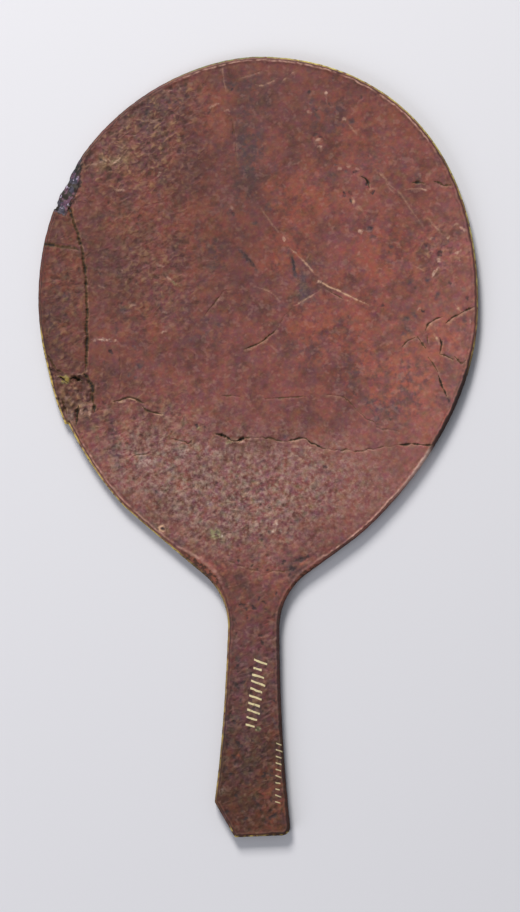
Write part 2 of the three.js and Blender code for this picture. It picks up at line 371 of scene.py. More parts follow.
CRACKS = (
    # The crack that parts the strip along the left rim, and the one across the strip.
    cut(1.05, 0.45, 0.78, (-61.4, 76.2), (-60.1, 73.3), (-58.0, 66.9), (-56.3, 60.6), (-55.2, 52.6),
        (-54.8, 43.0), (-54.6, 33.4), (-54.6, 29.4), (-54.7, 26.5), (-54.9, 23.6), wander=0.22, lip=0.03,
        glow=0.45, breaks=0.1),
    cut(1.35, 0.15, 0.78, (-69.8, 63.9), (-66.9, 63.6), (-63.7, 63.2), (-60.5, 63.0), (-57.6, 62.1),
        wander=0.35, glow=0.2, breaks=0.3),
    # The lost corner under the strip.
    cut(1.5, 0.5, 0.85, (-55.4, 22.5), (-53.8, 20.8), (-52.5, 17.8), (-52.7, 15.3), (-52.2, 12.7),
        (-51.8, 10.6), wander=0.2),
    cut(0.55, 0.3, 0.6, (-67.2, 28.7), (-65.9, 26.2), (-64.1, 23.6), (-62.0, 22.8), glow=0.3),
    cut(0.6, 0.35, 0.9, (-64.0, 21.1), (-63.0, 21.6), (-62.1, 20.6), (-60.8, 19.8), glow=0.2),
    cut(1.2, 0.7, 1.0, (-59.5, 21.0), (-58.4, 21.5), (-57.1, 20.7), (-56.0, 20.4), wander=0.05, lip=0.0,
        glow=0.0),
    cut(0.7, 0.3, 0.6, (-62.3, 14.0), (-61.4, 12.0), (-60.8, 9.9), glow=0.1),
    cut(0.9, 0.6, 0.95, (-57.0, 12.2), (-57.4, 9.6), (-57.5, 6.4), lip=0.0, glow=0.1),
    # The long run across the disc's lower half, with the open gap in its middle.
    cut(1.3, 0.8, 1.0, (-12.8, 4.0), (-10.9, 3.7), (-9.0, 2.6), (-8.0, 2.1), wander=0.2, lip=0.08,
        glow=0.5),
    cut(0.7, 0.3, 0.5, (-8.0, 2.1), (-7.0, 1.7), (-6.1, 1.9), wander=0.05, lip=0.08, glow=1.0),
    cut(1.2, 0.7, 1.0, (-6.1, 1.9), (-4.8, 2.5), (-3.2, 2.9), (-2.2, 2.9), wander=0.2, lip=0.08, glow=0.8),
    cut(0.5, 0.15, 0.45, (-26.9, 2.2), (-23.0, 1.6), (-21.7, 0.8), (-20.2, 2.3), wander=0.25, glow=0.4,
        breaks=0.3),
    cut(0.5, 0.18, 0.5, (-1.9, 3.0), (1.9, 2.9), (5.1, 2.7), (10.3, 1.8), wander=0.3, glow=0.4,
        breaks=0.35),
    cut(0.6, 0.26, 0.75, (10.3, 2.1), (13.8, 3.1), (16.0, 3.0), (17.9, 1.6), (20.2, 0.5), (22.1, -0.2),
        wander=0.2, lip=0.06, glow=0.8, breaks=0.2),
    cut(0.45, 0.12, 0.34, (22.1, -0.2), (26.3, -0.5), (33.3, -0.7), (39.7, 0.4), (45.5, 1.6), wander=0.3,
        glow=0.4, breaks=0.6),
    cut(0.65, 0.28, 0.72, (45.5, 1.6), (49.3, 1.8), (53.1, 1.6), (56.7, 1.6), wander=0.2, lip=0.05,
        glow=0.3, breaks=0.1),
    # The bow left of it and the faint marks below.
    cut(0.75, 0.22, 0.66, (-45.6, 13.8), (-42.4, 14.7), (-40.5, 15.2), (-38.3, 14.8), (-36.0, 13.5),
        wander=0.25, lip=0.08, glow=1.0, breaks=0.15),
    cut(0.75, 0.24, 0.66, (-36.6, 12.6), (-35.0, 11.0), (-33.1, 10.4), (-30.5, 10.1), wander=0.25,
        lip=0.08, glow=1.0, breaks=0.1),
    cut(0.6, 0.15, 0.42, (-38.9, -3.3), (-35.1, -2.9), (-32.6, -2.1), wander=0.25, glow=0.4, breaks=0.3),
    cut(0.4, 0.05, 0.2, (-44.0, 29.7), (-43.7, 23.3), (-44.1, 16.9), wander=0.3, glow=0.05, breaks=0.7),
    # The fine line above the long run, and its bend down to the right.
    cut(0.4, 0.08, 0.34, (-11.4, 16.2), (-7.9, 16.2), (-4.7, 15.8), wander=0.25, glow=0.3, breaks=0.3),
    cut(0.42, 0.1, 0.5, (3.0, 15.6), (7.5, 15.8), (11.9, 16.1), (15.8, 16.5), wander=0.2, glow=0.2,
        breaks=0.2),
    cut(0.4, 0.09, 0.36, (22.2, 17.0), (24.7, 17.1), (27.3, 16.5), (29.9, 14.9), (32.5, 12.1),
        (35.7, 9.3), (38.6, 8.0), wander=0.25, glow=0.3, breaks=0.5),
    cut(0.4, 0.08, 0.3, (38.3, 7.1), (41.5, 6.2), (45.4, 5.9), wander=0.25, glow=0.5, breaks=0.3),
    # The slanted crack up to the middle, and the long scratch that it meets.
    cut(0.5, 0.2, 0.6, (-4.3, 31.2), (-1.1, 32.3), (2.0, 34.2), (5.8, 37.6), wander=0.12, lip=0.06,
        glow=0.5, breaks=0.25),
    cut(0.35, 0.03, 0.12, (5.8, 37.6), (8.6, 42.1), (11.5, 45.4), wander=0.2, glow=0.1, breaks=0.6),
    scratch(0.8, (11.5, 45.4), (15.1, 47.5), (19.9, 50.8), wander=0.15),
    scratch(0.35, (0.1, 76.8), (3.3, 72.4), (6.6, 68.3), width=0.35, depth=0.02),
    scratch(0.85, (10.0, 63.7), (14.1, 60.1), (18.0, 55.7), width=0.42),
    scratch(1.0, (19.2, 53.5), (22.9, 51.6), (27.2, 49.8), (31.3, 47.9), (35.1, 46.2), width=0.5,
        depth=0.04, wander=0.08, glow=0.2, breaks=0.1),
    cut(0.45, 0.1, 0.5, (21.1, 51.3), (24.8, 49.1), (27.2, 47.9), wander=0.08, glow=0.5, breaks=0.1),
    scratch(0.6, (27.2, 47.9), (30.0, 46.9), wander=0.05),
    scratch(0.5, (-0.0, 51.1), (3.1, 50.2), (5.3, 48.8), (7.0, 46.6), width=0.36),
    # The cracks that run in from the right rim.
    cut(0.64, 0.14, 0.56, (46.4, 33.1), (48.1, 34.8), (50.3, 35.9), breaks=0.1),
    cut(0.69, 0.2, 0.66, (53.8, 38.7), (54.7, 40.4), (57.0, 42.0), (58.9, 42.7), breaks=0.1),
    cut(0.64, 0.18, 0.66, (60.2, 40.7), (62.7, 42.7), (64.8, 43.8), breaks=0.1),
    cut(0.69, 0.2, 0.7, (64.9, 44.0), (66.5, 44.8), (69.1, 46.1), glow=1.0),
    scratch(1.0, (63.1, 46.6), (64.9, 44.4), width=0.64, wander=0.05),
    cut(0.64, 0.15, 0.62, (51.3, 35.9), (52.3, 34.5), (53.6, 32.8), breaks=0.1),
    cut(0.59, 0.12, 0.54, (54.2, 36.8), (54.5, 34.2), breaks=0.1),
    scratch(0.9, (56.1, 37.4), (57.2, 36.0), (58.0, 34.3), width=0.89, glow=0.6),
    cut(0.69, 0.25, 0.85, (58.3, 35.9), (59.0, 33.7), (58.4, 31.1)),
    cut(0.64, 0.2, 0.7, (58.9, 30.6), (60.4, 30.2), (62.3, 29.3), lip=0.08, glow=1.0),
    cut(0.64, 0.16, 0.6, (63.2, 30.0), (64.4, 28.6), (65.5, 27.7), (66.5, 28.8), lip=0.08, glow=1.0),
    cut(0.64, 0.12, 0.52, (54.6, 29.7), (56.2, 27.8), (57.7, 25.3), breaks=0.1),
    cut(0.74, 0.24, 0.85, (58.1, 23.7), (58.7, 21.8), (59.7, 19.6), (60.7, 17.4), wander=0.12, glow=0.5,
        breaks=0.1),
    # The upper right shoulder.
    cut(1.05, 0.18, 0.8, (48.9, 85.5), (50.5, 85.7), (52.1, 85.4), wander=0.2, glow=0.3),
    cut(0.95, 0.16, 0.72, (55.9, 85.9), (57.5, 85.5), (58.8, 84.5), (60.7, 84.9), wander=0.2, glow=0.5,
        breaks=0.05),
    scratch(0.4, (45.4, 82.7), (48.0, 83.4), (50.2, 83.9), (53.1, 83.2), width=0.45, depth=0.04, wander=0.2,
        glow=0.2),
    scratch(0.5, (56.2, 85.1), (59.1, 84.4), width=0.45, wander=0.05),
    scratch(0.4, (38.3, 89.0), (41.5, 84.6), (44.8, 82.1), (48.7, 76.4), (52.6, 71.0), width=0.36,
        wander=0.12, breaks=0.25),
    scratch(0.6, (53.5, 74.5), (55.8, 72.0), (58.4, 69.2), breaks=0.1),
    scratch(0.45, (48.4, 59.4), (50.9, 58.5), (53.5, 56.9), width=0.36),
    # The seam at the top, and the pale worms near it.
    cut(0.36, 0.05, 0.1, (-13.0, 122.1), (-12.3, 117.9), (-11.6, 113.8), glow=0.1, breaks=0.3, pale=0.6),
    cut(0.4, 0.05, 0.25, (-9.4, 105.2), (-8.5, 100.1), (-7.7, 93.0), wander=0.2, glow=0.2, breaks=0.5),
    scratch(0.8, (-1.9, 116.0), (-0.3, 115.6), (2.0, 116.4), (4.8, 118.1), width=0.5, lip=0.05, glow=0.2),
    scratch(0.7, (6.4, 117.0), (7.4, 118.3), (8.7, 118.3), width=0.5, glow=0.2),
    scratch(0.55, (8.6, 119.2), (9.9, 120.2), (11.2, 120.7), width=0.45, glow=0.2),
    scratch(0.8, (28.1, 103.6), (29.1, 102.3), (30.3, 100.9), width=0.5, lip=0.05, glow=0.2),
    scratch(0.35, (-7.0, 118.0), (-4.5, 118.7), (-0.0, 120.4), glow=0.2),
    # The small ring near the lower left rim.
    scratch(1.0, (-28.5, -26.6), (-28.9, -25.8), (-29.8, -25.5), (-30.6, -26.1), (-30.3, -27.0),
        (-29.4, -27.5), (-28.6, -27.2), (-28.5, -26.5), width=0.7, depth=0.0, wander=0.0, lip=0.1, glow=0.0,
        breaks=0.0),
    # The blister's ring, the curl left of the middle and the arc at the neck.
    cut(0.75, 0.3, 0.95, (32.4, 87.1), (33.7, 86.5), (34.6, 85.3), (34.9, 83.7), wander=0.05, glow=0.3),
    scratch(1.0, (34.7, 82.4), (35.3, 83.3), (36.1, 83.3), width=0.6, wander=0.0, breaks=0.0),
    scratch(0.45, (37.9, 88.7), (39.6, 86.8), (40.9, 84.2), (42.5, 82.7), depth=0.06, glow=0.4),
    scratch(0.85, (29.4, 80.5), (29.9, 79.3), (30.1, 77.7), width=0.65, wander=0.05, glow=0.2, breaks=0.0),
    cut(0.4, 0.06, 0.1, (30.8, 78.6), (32.4, 76.7), (34.0, 74.5), glow=0.4, breaks=0.3, pale=0.3),
    cut(0.4, 0.1, 0.36, (-8.8, 50.1), (-11.0, 49.8), (-12.6, 47.8), (-14.5, 45.2), (-17.0, 42.0),
        wander=0.25, glow=0.3, breaks=0.5),
    cut(0.6, 0.08, 0.24, (-9.0, -36.3), (-5.1, -37.8), (2.6, -40.2), (11.6, -39.1), wander=0.4, glow=0.2,
        breaks=0.75),
)

# Each tone's marks run from the top of the disc down to the end of the handle.
MARKS = (
    *toned(
        Tone.DARK,
        (-9.5, 114.5, 0.7, 0.7, 20, -0.1, 0.7), (15.1, 113.9, 0.7, 0.9, 90, -0.1, 0.75),
        (31.8, 112.4, 0.64, 0.8, 0, -0.1, 0.55), (21.6, 110.2, 0.58, 0.7, 0, -0.12, 0.6),
        (17.5, 108.2, 0.64, 0.8, 0, -0.1, 0.6), (-16.6, 107.1, 1.38, 0.3, 54, -0.1, 0.5),
        (-36.3, 105.7, 1.43, 0.38, -27, -0.1, 0.5), (29, 104.5, 0.58, 0.8, 0, -0.1, 0.6),
        (-18.6, 102.5, 1.15, 0.36, -34, -0.1, 0.5), (-9, 100.4, 0.7, 0.6, 80, -0.12, 0.7),
        (17.3, 100.3, 0.96, 0.5, 20, -0.12, 0.75), (19.2, 99.6, 0.64, 0.6, 0, -0.1, 0.7),
        (-24.6, 99.3, 1.98, 0.24, 14, -0.12, 0.55), (-31, 94.7, 1.98, 0.21, 14, -0.1, 0.45),
        (-48.5, 92.4, 1.15, 0.31, -34, -0.12, 0.55), (-55.2, 91.6, 1.32, 0.36, 14, -0.1, 0.5),
        (-50.7, 90.9, 1.51, 0.28, -32, -0.12, 0.6), (30.3, 88.7, 0.7, 0.6, 0, -0.15, 0.8),
        (-58.1, 88.4, 1.6, 0.7, 60, -0.1), (50.5, 85.5, 1.28, 0.42, 0, -0.1, 0.6),
        (30.3, 85, 4.6, 0.9, 0, 0.12, 0), (34.3, 84.6, 0.51, 0.8, 80, -0.3, 0.9),
        (-49.8, 84.3, 0.8, 0.68, -53, -0.12, 0.5), (-57.9, 83.3, 1.4, 0.4, 70, -0.1),
        (36.1, 82.2, 0.58, 0.7, 20, -0.2), (28.8, 82, 0.86, 0.45, -68, -0.15, 0.85),
        (26.8, 81.6, 0.89, 0.47, -63, -0.15, 0.9), (27.2, 80.9, 0.77, 0.8, 0, -0.12, 0.7),
        (-63, 80.6, 0.7, 0.8, 0, -0.1), (29, 79.4, 0.93, 0.45, -59, -0.15, 0.8),
        (-8.5, 74.5, 0.77, 0.8, 0, -0.12, 0.7), (35.8, 70.7, 0.48, 0.9, 0, -0.1, 0.6),
        (-62.3, 65.9, 1.02, 0.47, -39, -0.08, 0.35), (53.4, 65.6, 0.7, 0.9, 0, -0.25, 0.95),
        (57.9, 62.9, 1.02, 0.8, 60, -0.2, 0.8), (-3.2, 59.8, 3.4, 0.14, -49, -0.08, 0.75),
        (11.2, 58.3, 2.48, 0.15, -75, -0.08, 0.75), (-50.8, 54.9, 1.01, 0.47, -18, -0.1, 0.5),
        (61.2, 53.5, 0.83, 0.8, 80, -0.1, 0.6), (50.4, 51.8, 0.7, 0.8, 0, -0.08, 0.5),
        (66.8, 48.7, 0.64, 0.9, 0, -0.15, 0.8), (39.9, 46, 0.96, 0.5, 10, -0.08, 0.65),
        (52.9, 44.4, 0.83, 0.8, -45, -0.15, 0.8), (47.7, 41.9, 0.51, 0.9, 0, -0.1, 0.5),
        (-47, 29.7, 0.64, 0.9, 0, -0.3), (48.2, 21.6, 3.24, 0.15, -81, -0.06, 0.4),
        (31.4, 17.8, 1.01, 0.47, -72, -0.1, 0.6), (-55.3, 17.4, 0.77, 0.8, 0, -0.2, 0.4),
        (-58.8, 17.3, 0.96, 0.7, 30, -0.2, 0.35), (57.9, 17, 0.7, 0.9, 0, -0.05, 0.35),
        (61.5, 15.9, 0.93, 0.41, -59, -0.12, 0.7), (-48.8, 13.2, 1.07, 0.45, -27, -0.1, 0.5),
        (-54.8, 10.8, 0.77, 0.8, 0, -0.5), (43.1, 9.7, 0.83, 0.7, 20, -0.1, 0.65),
        (-48.9, 8.5, 1.02, 0.47, -39, -0.1, 0.45), (39, 7.9, 1.09, 0.4, -20, -0.08, 0.6),
        (-19.1, 6.4, 0.86, 0.52, -22, -0.12, 0.7), (-2, 6.1, 0.77, 0.6, 80, -0.08, 0.4),
        (-16.7, 6, 0.8, 0.48, -37, -0.1, 0.65), (-20.9, 1.1, 0.7, 0.7, 40, -0.1, 0.6),
        (2.4, -4.4, 0.96, 0.8, 0, -0.12, 0.5), (25.7, -5.6, 0.7, 0.8, 0, -0.1, 0.4),
        (22.2, -6, 0.83, 0.8, 0, -0.12, 0.6), (-16.2, -6.3, 0.77, 0.8, 0, -0.1, 0.45),
        (19.4, -6.4, 0.77, 0.8, 0, -0.1, 0.5), (-29.5, -26.5, 0.5, 0.8, -40, -0.25),
        (-13.9, -27.9, 1.02, 0.31, -51, -0.08, 0.45), (-11.8, -28, 2.29, 0.17, -78, -0.1, 0.55),
        (17.3, -34.6, 0.77, 0.5, 30, -0.16, 0.8), (-8, -34.7, 0.58, 0.6, 30, -0.16, 0.6),
        (15, -35.6, 0.9, 0.45, 30, -0.16, 0.8), (15.4, -35.6, 3.04, 0.21, 18, -0.12, 0.6),
        (-5.1, -36.5, 0.7, 0.6, 30, -0.16, 0.8), (9.6, -36.6, 1.02, 0.5, 30, -0.16, 0.8),
        (-0.6, -37.7, 0.7, 0.6, 10, -0.16, 0.8), (6.8, -37.9, 0.58, 0.6, 0, -0.16, 0.8),
        (11.6, -38.2, 0.83, 0.5, 30, -0.16, 0.6), (12.5, -38.5, 1.72, 0.28, 22, -0.12, 0.7),
        (1.3, -39, 0.7, 0.6, 30, -0.16, 0.6), (12.9, -39.1, 0.77, 0.5, 40, -0.16, 0.8),
        (4.2, -39.3, 0.64, 0.6, 0, -0.16, 0.8), (11.3, -40.7, 0.77, 0.5, 50, -0.16, 0.6),
        (-4.7, -42, 1.6, 0.8, 0, -0.05, 0.35), (7.5, -46.6, 0.7, 0.6, 70, -0.16, 0.8),
        (1.8, -48.3, 0.7, 0.6, 60, -0.16, 0.8), (3.7, -49.7, 1.07, 0.45, -27, -0.15, 0.6),
        (-3, -50.6, 0.77, 0.6, 20, -0.16, 0.6), (-3.8, -50.9, 1.29, 0.42, -30, -0.2, 0.85),
        (-0.1, -51.2, 0.77, 0.6, 110, -0.16, 0.8), (0.4, -51.5, 1.02, 0.53, -39, -0.2, 0.75),
        (3.8, -51.7, 0.77, 0.5, 20, -0.16, 0.6), (-2, -51.8, 0.91, 0.46, 45, -0.15, 0.7),
        (-5.8, -51.9, 0.7, 0.5, 60, -0.16, 0.8), (-1.9, -54.7, 0.64, 0.6, 90, -0.16, 0.8),
        (-6.1, -55.4, 0.7, 0.6, 20, -0.16, 0.6), (-5.4, -56.1, 0.91, 0.53, -45, -0.15, 0.6),
        (2.5, -60.3, 0.93, 0.51, -31, -0.15, 0.55), (3, -62.3, 0.7, 0.6, 120, -0.16, 0.8),
        (-3.1, -63.7, 0.77, 0.6, 30, -0.16, 0.6), (-4.6, -70.1, 0.83, 0.6, 30, -0.16, 0.6),
        (-3.2, -75.5, 1.34, 0.4, 35, -0.16, 0.8), (-4.8, -76.4, 2.15, 0.25, -42, -0.2, 0.6),
        (-6.4, -77.8, 0.7, 0.5, 90, -0.16, 0.8), (7.1, -80.8, 0.7, 0.5, 80, -0.16, 0.8),
        (-3.7, -81, 0.64, 0.6, 60, -0.16, 0.8), (-6.5, -86, 1.48, 0.39, -49, -0.2, 0.6),
        (-5.5, -88.1, 0.83, 0.6, -40, -0.16, 0.8), (5, -88.9, 1.87, 0.21, 31, -0.15, 0.6),
        (-8, -92.6, 1.15, 0.42, -56, -0.15, 0.55), (0.3, -94.1, 0.83, 0.5, 30, -0.16, 0.6),
        (-3.5, -95.4, 1.81, 0.32, -45, -0.25, 0.8), (-7.3, -95.5, 1.09, 0.5, 80, -0.16, 0.6),
        (8.7, -97.8, 0.7, 0.6, 70, -0.16, 0.8), (3.6, -99.1, 0.7, 0.5, 100, -0.16, 0.8),
        (-5.2, -99.4, 1.38, 0.4, -36, -0.25, 0.75), (-10.1, -100.3, 0.77, 0.5, 80, -0.16, 0.6),
        (-4.7, -101.2, 1.15, 0.5, 50, -0.16, 0.8), (6.6, -103.6, 0.77, 0.6, 10, -0.16, 0.8),
        (5.8, -104.5, 2.18, 0.22, -17, -0.2, 0.75), (-6.5, -104.7, 0.83, 0.6, 70, -0.16, 0.8),
        (4.3, -105.2, 1.02, 0.5, 40, -0.16, 0.8), (-0.7, -107.4, 1.87, 0.29, -70, -0.15, 0.4),
        (-1.1, -107.5, 0.77, 0.6, 20, -0.16, 0.6), (-4.5, -111.7, 0.77, 0.6, 50, -0.16, 0.8),
        (1.3, -112.6, 0.96, 0.6, 60, -0.16, 0.6), (6.7, -112.8, 0.9, 0.5, 100, -0.16, 0.8),
        (2.9, -114.8, 2.31, 0.28, -56, -0.2, 0.6), (-2.2, -116.8, 1.6, 0.3, -53, -0.15, 0.45),
        (-7.6, -116.9, 0.83, 0.6, 30, -0.16, 0.8), (7.4, -117.9, 2.05, 0.23, 39, -0.2, 0.7),
        (-1.5, -119, 0.9, 0.5, 10, -0.16, 0.8), (5.2, -119.9, 0.83, 0.5, 40, -0.16, 0.6),
    ),
    *toned(
        Tone.BRIGHT,
        (8.3, 119.5, 0.96, 0.4, 60, 0.04, 0.3), (-26.3, 114.7, 1.58, 0.24, -45, 0.06, 0.35),
        (20.6, 113.8, 0.58, 0.9, 0, 0.05, 0.75), (-30.5, 113.3, 2.76, 0.17, 10, 0.08, 0.4),
        (20.9, 111.4, 1.4, 0.3, -80, 0.04, 0.35), (-15.2, 109.1, 2.08, 0.22, 23, 0.08, 0.5),
        (-11, 107.5, 1.61, 0.24, -6, 0.05, 0.4), (15.2, 107.5, 0.96, 0.5, 0, 0.04, 0.55),
        (24.2, 106, 0.96, 0.5, -30, 0.04, 0.4), (26.6, 105.4, 0.64, 0.9, 0, 0.05, 0.85),
        (-33.5, 104, 3.36, 0.14, 25, 0.06, 0.4), (18.1, 98.6, 1.02, 0.45, 20, 0.05, 0.65),
        (18.9, 96.4, 0.77, 0.8, 0, 0.04, 0.6), (-49.5, 94.4, 1.25, 0.31, 40, 0.08, 0.4),
        (-45, 92.9, 1.07, 0.33, -27, 0.08, 0.4), (-50.3, 90.9, 1.38, 0.33, 36, 0.1, 0.6),
        (-48.3, 90.9, 1.13, 0.34, -45, 0.08, 0.5), (-45.9, 90.8, 1.81, 0.23, 45, 0.1, 0.65),
        (28.2, 90.3, 0.7, 0.6, 30, 0.05, 0.4), (25.6, 89.7, 1.1, 0.45, 20, 0.05, 0.5),
        (-53, 89.6, 1.61, 0.26, 6, 0.06, 0.4), (31.2, 89.5, 0.7, 0.7, 0, 0.05, 0.6),
        (50.9, 87.9, 1.25, 0.33, -50, 0.04, 0.4), (-32.6, 86.7, 1.13, 0.37, 45, 0.06, 0.5),
        (52.6, 83.3, 0.93, 0.45, -31, 0.05, 0.6), (-44.8, 81.5, 1.92, 0.22, 0, 0.06, 0.5),
        (31.3, 81.5, 0.7, 0.8, 0, 0.04, 0.35), (-8.9, 76.4, 0.83, 0.8, 0, 0.04, 0.4),
        (63.2, 72.3, 1.29, 0.3, 7, 0.05, 0.5), (15.8, 71, 0.96, 0.5, 0, 0.03, 0.3),
        (65, 71, 1.38, 0.4, -36, 0.06, 0.7), (32.3, 69.5, 0.83, 0.7, -60, 0.05, 0.9),
        (60.5, 68.1, 0.68, 0.66, 45, 0.05, 0.7), (55.1, 67.7, 0.93, 0.45, 31, 0.05, 0.5),
        (7.9, 66.7, 0.7, 0.8, 40, 0.05, 0.7), (-47.9, 65.2, 2.6, 0.12, 47, 0.05, 0.3),
        (53.7, 64.3, 0.77, 0.7, 0, 0.04, 0.35), (63.8, 63.5, 1.29, 0.35, 30, 0.06, 0.7),
        (31.8, 62.3, 1.12, 0.5, 45, 0.04, 0.4), (64.3, 61.1, 1.02, 0.37, -51, 0.05, 0.55),
        (57.6, 60.7, 0.8, 0.56, -37, 0.06, 0.75), (41.8, 58, 1.48, 0.22, -13, 0.04, 0.35),
        (-31.8, 57.8, 1.87, 0.26, -20, 0.06, 0.4), (39.1, 57.6, 1.28, 0.3, 0, 0.04, 0.4),
        (56.4, 57, 1.87, 0.24, 59, 0.06, 0.8), (-43.8, 55.8, 0.8, 0.56, -37, 0.06, 0.45),
        (-28.7, 53.5, 1.07, 0.42, -27, 0.06, 0.6), (19.3, 53.3, 0.61, 0.8, 0, 0.05, 0.75),
        (-50.1, 50.4, 1.72, 0.2, -22, 0.06, 0.35), (51.6, 45.2, 0.93, 0.34, 59, 0.05, 0.5),
        (-40.1, 44.7, 1.51, 0.28, 32, 0.06, 0.45), (-29.8, 42.6, 1.67, 0.25, 17, 0.06, 0.4),
        (67.9, 41.2, 0.72, 0.58, -63, 0.05, 0.5), (-30.3, 36.3, 1.72, 0.28, 22, 0.07, 0.55),
        (-50.4, 33.6, 1.09, 0.35, -15, 0.05, 0.9), (-48, 33.3, 0.9, 0.5, 10, 0.05),
        (-45.5, 33.2, 0.83, 0.5, 15, 0.05, 0.9), (-52.2, 33.1, 0.45, 0.8, 0, 0.05, 0.6),
        (-66.1, 24.4, 0.7, 0.35, -75, 0), (-57.1, 22.2, 1.44, 0.29, -1, 0.05, 0.55),
        (-27.2, 20.1, 1.28, 0.33, 0, 0.05, 0.5), (63.1, 20, 1.43, 0.56, -63, 0, 0.25),
        (-52.1, 18.4, 0.64, 0.6, 80, 0.05, 0.5), (-59.8, 17.9, 0.83, 0.6, 0, 0.08, 0.35),
        (-62.6, 17.2, 0.83, 0.8, 0, 0.2, 0.3), (-57.8, 16.7, 0.7, 0.6, 70, 0.08, 0.4),
        (-64.2, 15.3, 1.09, 0.6, -60, 0.08, 0.5), (-7.2, 15.3, 0.96, 0.5, -30, 0.04, 0.35),
        (-61, 14.7, 0.96, 0.7, 20, 0.08, 0.45), (-42.7, 13.7, 1.61, 0.2, 6, 0.04, 0.55),
        (-58.7, 13.5, 0.83, 0.6, 60, 0.08, 0.45), (-59.7, 12.5, 0.96, 0.8, 0, 0.2, 0.25),
        (-62.9, 11.5, 1.02, 0.6, -50, 0.08, 0.5), (-53.4, 11.5, 1.13, 0.48, -45, 0.25, 0.65),
        (-40.5, 11.5, 1.87, 0.26, -59, 0.05, 0.35), (-56, 10.6, 1.37, 0.35, 69, 0.25, 0.6),
        (-53.4, 9.9, 0.7, 0.7, -30, 0.2, 0.7), (41.5, 8.1, 0.83, 0.8, 0, 0.04, 0.45),
        (-4.6, 1.5, 1.19, 0.27, 20, 0.05, 0.5), (12.4, 0.4, 1.77, 0.31, 5, 0.06, 0.5),
        (-38.4, 0.2, 1.48, 0.28, -77, 0.05, 0.5), (17, 0.2, 1.07, 0.42, -27, 0.06, 0.6),
        (20.5, -1.2, 1.01, 0.47, -18, 0.06, 0.6), (11.3, -2.3, 1.15, 0.7, 60, 0.06, 0.5),
        (14.5, -3.9, 1.09, 0.6, -40, 0.06, 0.45), (6.5, -20.7, 0.83, 0.7, 0, 0.05, 0.4),
        (6.8, -24.2, 1.09, 0.6, 60, 0.06, 0.85), (6.1, -26.7, 0.96, 0.7, 45, 0.06, 0.85),
        (-8, -28.3, 0.9, 0.8, 0, 0.05, 0.55), (8.5, -29.9, 0.83, 0.7, 0, 0.05, 0.4),
    ),
    *toned(
        Tone.GREEN,
        (-27.1, 52.1, 1.15, 0.33, -34, 0.05, 0.8), (-62.9, 21.6, 0.8, 0.5, -20, 0.1, 0.9),
        (-61.2, 20.6, 1.5, 0.85, 30, 0.4), (-18.3, 5.5, 0.7, 0.7, 0, 0.04, 0.8),
        (-8.6, 1.3, 0.96, 0.5, -10, 0.05, 0.8), (-12.6, -27.7, 2.24, 0.75, -40, 0.03, 0.9),
        (2.2, -90.2, 0.7, 0.8, 0, 0.1),
    ),
    *toned(
        Tone.SLATE,
        (15.7, 119.3, 2.75, 0.29, -54, -0.03, 0.6), (22.1, 118, 0.77, 0.9, 60, -0.05, 0.8),
        (-10.2, 115.4, 0.96, 0.8, 0, -0.03, 0.8), (-9.9, 115.4, 1.6, 0.8, 20, -0.06),
        (16.1, 111, 1.12, 0.7, 80, -0.04), (-26.1, 110.3, 2.02, 0.4, 18, -0.04, 0.8),
        (17.6, 106.7, 2.53, 0.28, -72, -0.06), (-36.8, 106.6, 1.7, 0.56, -49, -0.04, 0.8),
        (28.7, 104.8, 1.15, 0.8, 0, -0.06), (24.5, 91, 0.83, 0.7, 0, -0.08, 0.8),
        (27.1, 88.8, 0.58, 0.7, 0, -0.1), (50.4, 87.9, 1.44, 0.7, -60, -0.05, 0.8),
        (23.6, 86.5, 1.6, 0.8, 90, -0.03, 0.8), (33.9, 84.8, 0.38, 0.8, 0, 0.03),
        (-33, 81.1, 1.28, 0.9, 0, -0.04), (2.6, 76.6, 1.44, 0.8, 0, -0.04, 0.85),
        (-1.8, 71.7, 0.96, 0.8, 0, -0.05, 0.8), (35.4, 70.4, 0.96, 0.8, 0, -0.06),
        (63.9, 69.9, 1.15, 0.7, 0, -0.05), (56.4, 68, 1.13, 0.4, 45, -0.15),
        (36.6, 67.7, 1.02, 0.8, 0, -0.06), (59.4, 66.3, 1.28, 0.8, 45, -0.06, 0.8),
        (42.2, 64.7, 1.02, 0.6, 10, -0.05, 0.8), (8.6, 62.6, 1.6, 0.7, 45, 0, 0.5),
        (-40.7, 62.4, 1.43, 0.4, -63, -0.04, 0.8), (59.7, 60.1, 1.38, 0.49, -54, -0.1),
        (-3.3, 59.8, 4.6, 0.21, -50, -0.08), (11.3, 57.3, 4.11, 0.14, -77, -0.06),
        (54.2, 54.7, 1.09, 0.8, 60, -0.05, 0.9), (48.4, 53.6, 1.02, 0.8, 80, -0.05, 0.8),
        (57.2, 49.6, 1.15, 0.7, 60, -0.05, 0.9), (-61.2, 47.7, 1.92, 0.8, 90, -0.03, 0.7),
        (51.4, 47.3, 0.77, 0.8, 0, -0.05), (-43.4, 43.8, 2.6, 0.25, -79, -0.03, 0.8),
        (49.9, 43.3, 0.96, 0.9, 0, -0.06), (-58.6, 42.9, 1.28, 0.8, 90, -0.03, 0.7),
        (66.1, 42.1, 3.52, 0.18, -87, -0.03, 0.6), (47.6, 41.8, 1.15, 0.8, 0, -0.06),
        (37.1, 39.2, 0.96, 0.8, 0, -0.05, 0.9), (48.1, 38.4, 1.15, 0.6, -40, -0.05, 0.9),
        (46.5, 37, 0.77, 0.8, 0, -0.04, 0.8), (-45.4, 36.9, 1.48, 0.43, -77, -0.03, 0.7),
        (32.9, 36.7, 1.09, 0.8, 0, -0.04, 0.7), (-39.5, 31.1, 0.7, 0.9, 60, -0.06),
        (-48.4, 26.1, 0.96, 0.8, 0, -0.03, 0.7), (46.5, 26.1, 3.24, 0.2, -81, -0.04, 0.9),
